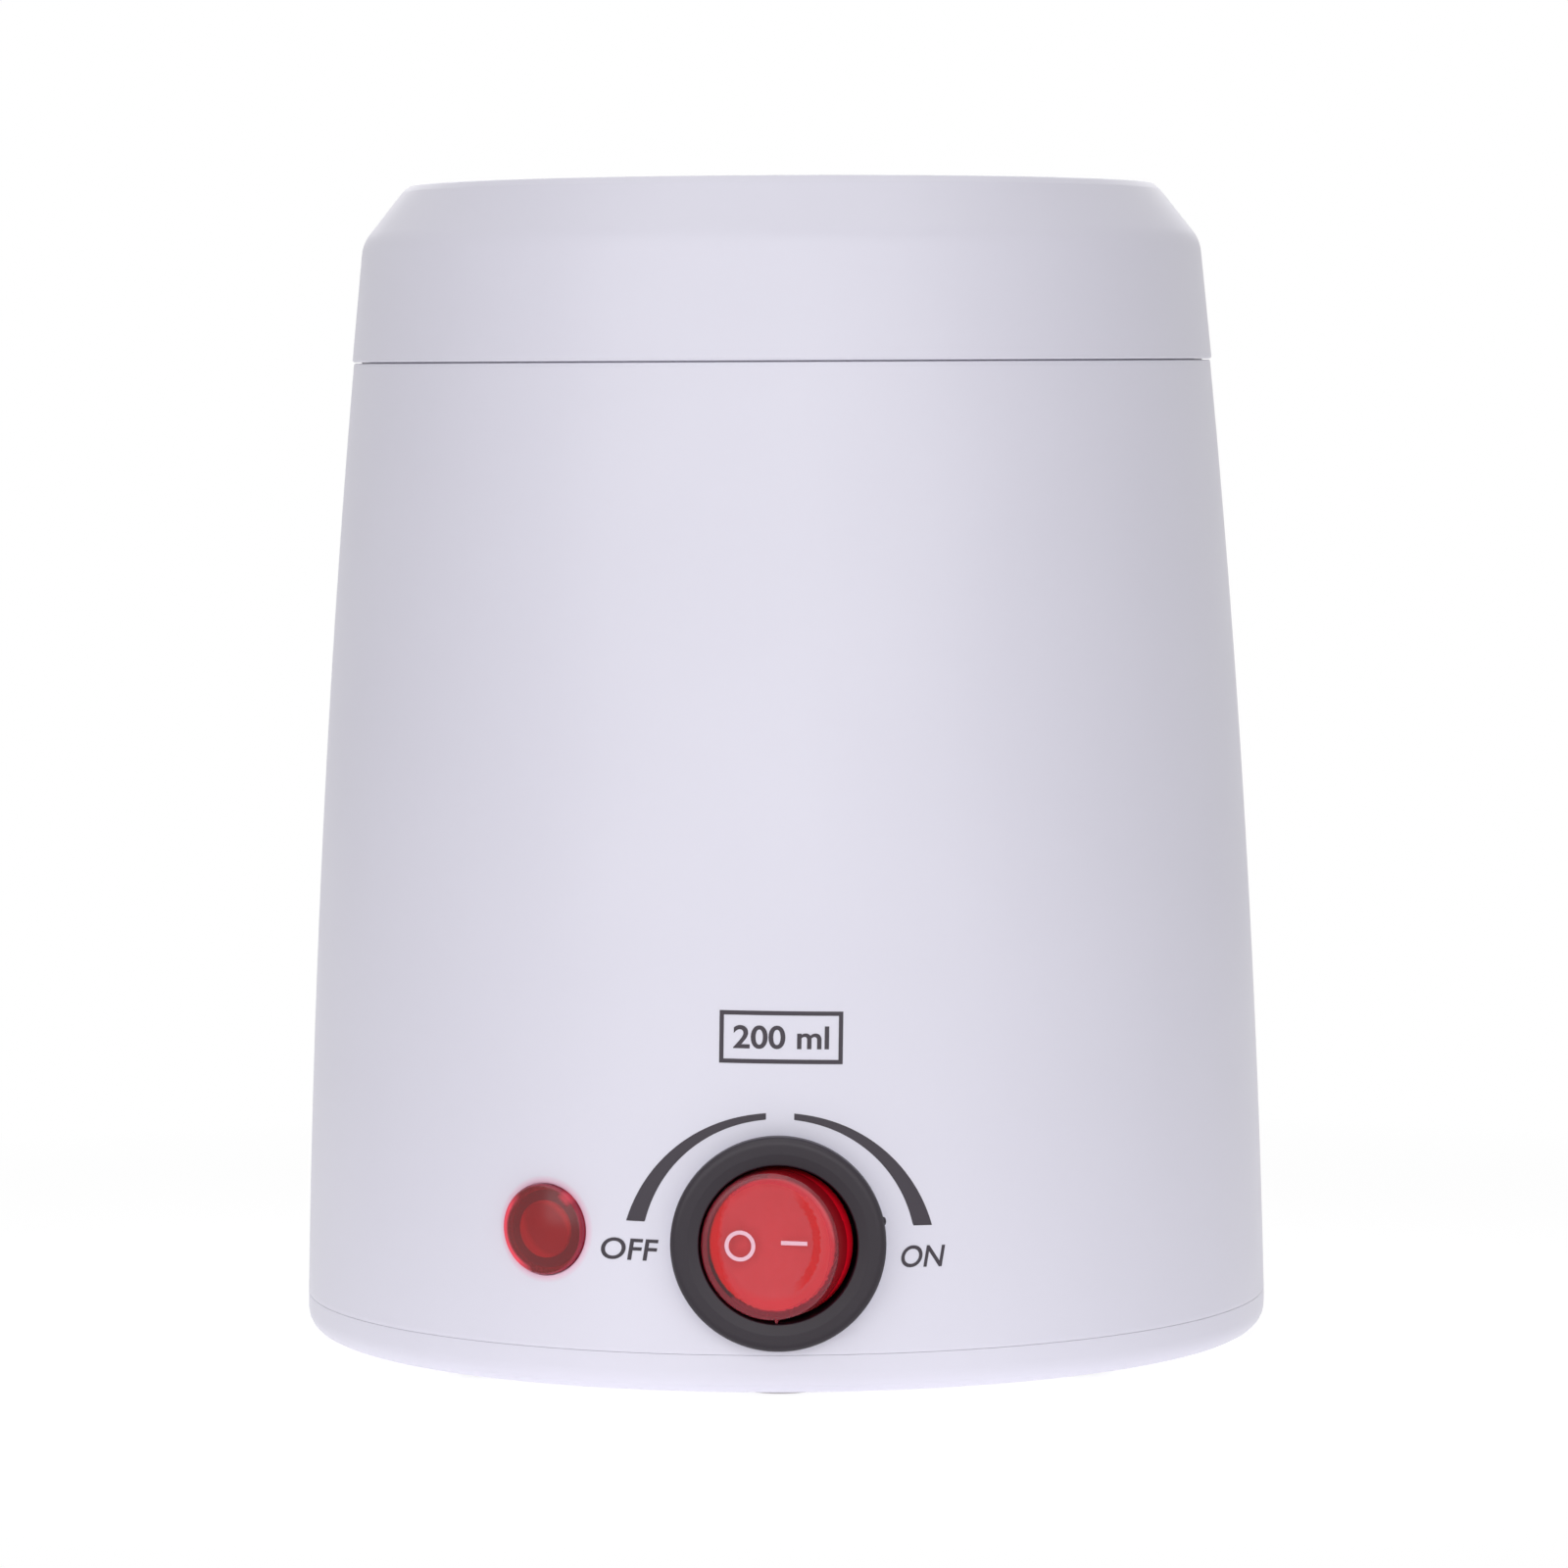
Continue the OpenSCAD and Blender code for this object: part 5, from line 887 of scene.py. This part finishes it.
def painted_edge_light(tree):
    """Painted light in the edge, where light leaving the dome shows: a long stretch away from the switch and
    a short one opposite. Each fades with the angle from its middle, and both with the distance from the
    axis."""
    way, length = from_lens_axis(tree)
    near_edge = add_node(tree, "MapRange", {"From Min": (LENS_R - 0.85) * MM,
                                            "From Max": (LENS_R - 0.5) * MM}, {"Value": length})
    towards = add_node(tree, "VectorMath", {"operation": "NORMALIZE"}, {0: way})
    stretches = []
    # Middle of each stretch in degrees from the right, angles from it where it starts and is full, share
    for turn, faint, full, most in ((190, 66, 40, 0.85), (50, 12, 3, 0.4)):
        middle = lens_right * math.cos(math.radians(turn)) + np.array([0, 0, math.sin(math.radians(turn))])
        cosine = add_node(tree, "VectorMath", {"operation": "DOT_PRODUCT", 1: tuple(middle)}, {0: towards})
        stretches.append(add_node(tree, "MapRange", {
            "From Min": math.cos(math.radians(faint)), "From Max": math.cos(math.radians(full)),
            "To Max": most}, {"Value": cosine.outputs["Value"]}))
    stretch = add_node(tree, "Math", {"operation": "MAXIMUM"}, {0: stretches[0], 1: stretches[1]})
    lit_edge = add_node(tree, "Math", {"operation": "MULTIPLY"}, {0: stretch, 1: near_edge})
    light = add_node(tree, "BsdfDiffuse", {"Color": linear("#FF5A6C")})
    end = tree.nodes["Material Output"].inputs["Surface"]
    mixed = add_node(tree, "MixShader", (), {0: lit_edge, 1: end.links[0].from_socket, 2: light})
    tree.links.new(mixed.outputs[0], end)


painted_edge_light(red_lens.node_tree)
painted_edge_light(lens_wall.node_tree)

# Two painted highlights in the window: lighter crescents, low on the left and high on the right
for right, up, start, full in ((1.6, 1.2, 3.7, 4.3), (-1.3, -1.5, 4.3, 4.8)):
    window_reach = from_lens_axis(window.node_tree, right, up)[1]
    crescent = add_node(window.node_tree, "MapRange", {"From Min": start * MM, "From Max": full * MM},
                        {"Value": window_reach})
    tint(window.node_tree, crescent, "#FF7866")

# Pink light that the edge throws on the front of the body, close round the lens
GLOW_REACH, GLOW_SHARE, FRONT_FROM = 5.8, 0.65, 50.0
skin_tree = lavender_abs.node_tree
pink = add_node(skin_tree, "MapRange", {"From Min": LENS_R * MM, "From Max": GLOW_REACH * MM,
                                        "To Min": GLOW_SHARE, "To Max": 0.0},
                {"Value": from_lens_axis(skin_tree)[1]})
ahead_of = add_node(skin_tree, "VectorMath", {"operation": "DOT_PRODUCT", 1: tuple(lens_ahead)},
                    {0: add_node(skin_tree, "TexCoord").outputs["Object"]})
in_front = add_node(skin_tree, "Math", {"operation": "GREATER_THAN", 1: FRONT_FROM * MM},
                    {0: ahead_of.outputs["Value"]})
pink_share = add_node(skin_tree, "Math", {"operation": "MULTIPLY"}, {0: pink, 1: in_front})
tint(skin_tree, pink_share, "#E89CBC")


# Behind the lens: a push-on clip of plated steel, a small glass bulb, and a ceramic resistor in its lead.
finish(zinc_steel, "pilot_clip")
finish(neon_glass, "pilot_bulb")

# Glazed ceramic: cream and glossy
finish(moulded_plastic("glazed_ceramic", "#D8CDB4", "#CFC3A8", 0.3), "pilot_resistor")


# Cord gland: a black nylon bush pushed through the rear wall; the mains cord would come out through it.
gland_profile = closed(rounded([
    (3.2, 58.76, 0.5), (7.0, 58.76, 0.9), (7.0, 54.01, 0.1), (5.3, 54.01, 0), (5.3, 50.71, 0),
    (6.3, 50.71, 0.2), (6.3, 48.71, 0.3), (3.2, 48.71, 0.3)], 6))
make_piece("cord_bush", [spun_out(gland_profile, 180, GLAND_HEIGHT, 72)], black_nylon, "housing",
           ("cord_gland",))


# Terminal block and wiring: a nylon block with brass inserts on the base cover, closed crimp caps, and
# silicone-sheathed leads in the usual colours.
finish(white_nylon, "terminal_block", "crimp_caps")
finish(brass, "block_inserts")
finish(zinc_steel, "block_screws", "block_fixing_screw")

# Silicone sheaths: soft, slightly dull, in the usual colours of mains wiring
for node, colour, drift in (("live_leads", "#6B3F28", "#623823"), ("neutral_leads", "#3C6FB0", "#3565A4"),
                            ("earth_lead", "#5F9A3F", "#C9B93A"), ("pilot_leads", "#E4E2DC", "#DCD9D2")):
    finish(moulded_plastic("silicone_sheath_" + node, colour, drift, 0.5, grain=0.2), node)


# Wax pot: spun aluminium with a rolled bead round its flange; the spinning leaves fine rings.
def spun_metal(name, colour, drift, roughness, ring):
    """Metal spun on a lathe: roughness and relief follow rings round the Z axis, `ring` millimetres apart,
    read from the distance to the axis plus the height, so that they run round walls and floor alike."""
    made, tree, place = new_material(name)
    flat = add_node(tree, "VectorMath", {"operation": "MULTIPLY", 1: (1, 1, 0)}, {0: place})
    radius = add_node(tree, "VectorMath", {"operation": "LENGTH"}, {0: flat}).outputs["Value"]
    height = add_node(tree, "SeparateXYZ", (), {"Vector": place}).outputs["Z"]
    along = add_node(tree, "Math", {"operation": "ADD"}, {0: radius, 1: height})
    line = add_node(tree, "CombineXYZ", (), {"X": along})
    rings = add_node(tree, "TexNoise", {"Scale": 1 / (ring * MM), "Detail": 4.0, "Roughness": 0.65},
                     {"Vector": line})
    patch = add_node(tree, "TexNoise", {"Scale": 1 / (18 * MM), "Detail": 2.0}, {"Vector": place})
    tone = add_node(tree, "MixRGB", {"Color1": linear(colour), "Color2": linear(drift)}, {"Fac": patch})
    opaque_skin(tree, tone, rings, roughness - 0.06, roughness + 0.08, rings, 0.25,
                {"Metallic": 1.0, "Anisotropic": 0.4})
    return made


pot_profile = open_profile([
    (0, 66.4, 0), (35.6, 66.4, 5.0), (36.3, 126.4, 0.4), (39.15, 126.4, 0.1), (39.15, 125.9, 0.1),
    (40.65, 125.9, 0.7), (40.65, 127.4, 0.7), (35.3, 127.4, 0.8), (34.6, 67.4, 4.0), (0, 67.4, 0)], 8)

# Spun aluminium: pale grey, brightest in a band along the rings
spun_aluminium = spun_metal("spun_aluminium", "#CDCFD1", "#C0C3C6", 0.28, 0.8)
make_piece("spun_pot", [lathe(pot_profile, np.linspace(0, 360, 241))], spun_aluminium, "pot",
           ("wax_pot",), 40)
smooth_copy("bail_lugs", "riveted_lugs", spun_aluminium, "pot")


# Bail handle: 2 mm stainless wire bent to a half circle. Its ends turn inwards through the lugs and are
# headed on the inside, so that it swings over the pot from one side of the rim to the other.
WIRE_R, BAIL_R, BAIL_BEND, BAIL_PIVOT_Z = 1.0, 38.5, 1.4, 129.6
BAIL_REST = math.radians(1.2925)

# Inner end of the wire, straight through the lug and headed inside: distance from the middle, and radius
HEAD_X = [36.0, 35.86, 35.8, 35.74, 35.42, 35.33, 35.3, 35.3]
HEAD_R = [1.0, 1.0, 1.3, 1.4, 1.4, 1.32, 1.15, 0.0]
arch = np.radians(np.linspace(180, 360, 121))
bend = np.radians(np.linspace(0, 90, 13))[1:]
right_half = np.concatenate([
    np.stack([BAIL_R * np.cos(arch[60:]), BAIL_R * np.sin(arch[60:]) - BAIL_BEND], -1),
    np.stack([BAIL_R - BAIL_BEND + BAIL_BEND * np.cos(bend), BAIL_BEND * np.sin(bend) - BAIL_BEND], -1),
    [(x, 0) for x in HEAD_X]])
half_radius = np.concatenate([np.full(len(right_half) - len(HEAD_R), WIRE_R), HEAD_R])
bail_line = np.concatenate([(right_half * [-1, 1])[::-1], right_half[1:]])
bail_radius = np.concatenate([half_radius[::-1], half_radius[1:]])[:, None]
ahead = np.gradient(bail_line, axis=0)
ahead[:len(HEAD_X)], ahead[-len(HEAD_X):] = [1, 0], [-1, 0]
ahead /= np.linalg.norm(ahead, axis=1, keepdims=True)
wire_turns = np.radians(np.linspace(0, 360, 33))
bail_x = bail_line[:, :1] - ahead[:, 1:] * bail_radius * np.cos(wire_turns)
bail_y = bail_line[:, 1:] + ahead[:, :1] * bail_radius * np.cos(wire_turns)
bail_z = bail_radius * np.sin(wire_turns)
bail_grid = np.stack([bail_x, bail_y * math.cos(BAIL_REST) - bail_z * math.sin(BAIL_REST),
                      BAIL_PIVOT_Z + bail_y * math.sin(BAIL_REST) + bail_z * math.cos(BAIL_REST)], -1)

# Drawn stainless wire: smooth and bright, with narrow highlights
stainless = worked_metal("drawn_stainless_wire", "#C2C2C0", "#B2B2B0", 0.2, 0.3, relief=0.06)
make_piece("bail_wire", [bail_grid], stainless, "bail", ("bail_handle",), 40)


# Printing on the body: pad printed in dark grey ink. Two arcs taper up round the switch, OFF and ON stand
# beside it, and a small frame above holds the capacity. The type is a plain built-in one. The whole print
# sits a degree askew, as it came off the printing pad.
PRINT_TURN = math.radians(-1.0)
INK_THICKNESS = 0.03


def on_body(across, up):
    """Points of the front of the body under flat drawing coordinates measured from the switch's centre,
    turned by PRINT_TURN and lifted by the ink's thickness."""
    across, height = (across * math.cos(PRINT_TURN) - up * math.sin(PRINT_TURN),
                      SWITCH_HEIGHT + across * math.sin(PRINT_TURN) + up * math.cos(PRINT_TURN))
    return np.stack([across, -np.sqrt((flank(height) + INK_THICKNESS) ** 2 - across**2), height], -1)


# Dark grey ink: satin, a little warmer than black
grey_ink = moulded_plastic("dark_grey_printing_ink", "#322B35", "#3A333D", 0.45, ior=1.45)

# An arc runs between two angles from straight up. Its edges have these radii there, and its two ends are
# cut square to the drawing
ARC_ANGLES, ARC_INNER, ARC_OUTER, ARC_SPREAD = (6.0, 81.0), (13.17, 14.38), (13.86, 16.3), 1.5
ARC_TOP_X, ARC_END_Z = 1.5, 1.8


def arc_mark(side):
    """A band whose radii grow with the share of the angle to the power ARC_SPREAD, clipped at both ends."""
    share = np.linspace(0, 1.036, 49)
    angle = np.radians(ARC_ANGLES[0] + (ARC_ANGLES[1] - ARC_ANGLES[0]) * share)
    inner = ARC_INNER[0] + (ARC_INNER[1] - ARC_INNER[0]) * share**ARC_SPREAD
    outer = ARC_OUTER[0] + (ARC_OUTER[1] - ARC_OUTER[0]) * share**ARC_SPREAD
    radius = inner + np.linspace(0, 1, 5)[:, None] * (outer - inner)
    return on_body(side * np.maximum(radius * np.sin(angle), ARC_TOP_X),
                   np.maximum(radius * np.cos(angle), ARC_END_Z))


FRAME_UP, FRAME_W, FRAME_H, FRAME_LINE = 21.85, 13.15, 5.6, 0.46
edge_w, edge_h = FRAME_W / 2, FRAME_H / 2
frame_bars = []
for left, right, low, high in ((-edge_w, edge_w, -edge_h, -edge_h + FRAME_LINE),
                               (-edge_w, edge_w, edge_h - FRAME_LINE, edge_h),
                               (-edge_w, -edge_w + FRAME_LINE, -edge_h, edge_h),
                               (edge_w - FRAME_LINE, edge_w, -edge_h, edge_h)):
    bar_x, bar_z = np.meshgrid(np.linspace(left, right, 15), np.linspace(low, high, 7))
    frame_bars.append(on_body(bar_x, FRAME_UP + bar_z))
make_piece("arcs_and_frame_print", [arc_mark(-1), arc_mark(1)] + frame_bars, grey_ink, "housing")


def printed_word(name, text, cap_height, place, width, slant, bolder):
    """A word in the built-in type as a flat mesh, scaled to its cap height and width, slanted, and laid on
    the body; `bolder` widens its strokes on both sides, in shares of the type's size."""
    curve = bpy.data.curves.new(name, "FONT")
    curve.body = text
    curve.offset = bolder
    curve.resolution_u = 6
    letters = bpy.data.objects.new(name + "_curve", curve)
    bpy.context.scene.collection.objects.link(letters)
    bpy.context.view_layer.update()
    mesh = bpy.data.meshes.new_from_object(letters)
    bpy.data.objects.remove(letters)
    mesh.name = name
    flat = bmesh.new()
    flat.from_mesh(mesh)
    bmesh.ops.remove_doubles(flat, verts=flat.verts, dist=1e-5)
    bmesh.ops.triangulate(flat, faces=flat.faces)
    flat.to_mesh(mesh)
    flat.free()
    corners = np.zeros(len(mesh.vertices) * 3)
    mesh.vertices.foreach_get("co", corners)
    corners = corners.reshape(-1, 3)
    low, high = corners.min(0), corners.max(0)
    up = (corners[:, 1] - (low[1] + high[1]) / 2) * cap_height / (high[1] - low[1])
    across = (corners[:, 0] - (low[0] + high[0]) / 2) * width / (high[0] - low[0]) + up * slant
    mesh.vertices.foreach_set("co", (on_body(place[0] + across, place[1] + up) * MM).ravel())
    put_in_place(name, mesh, grey_ink, "housing")


printed_word("capacity_print", "200 ml", 2.5, (0.0, FRAME_UP), 10.2, 0.0, 0.018)
printed_word("off_print", "OFF", 2.36, (-16.0, -1.25), 6.05, 0.15, 0.012)
printed_word("on_print", "ON", 2.36, (15.35, -1.5), 4.5, 0.15, 0.012)


# Brings the scene up to date at the end
bpy.context.view_layer.update()
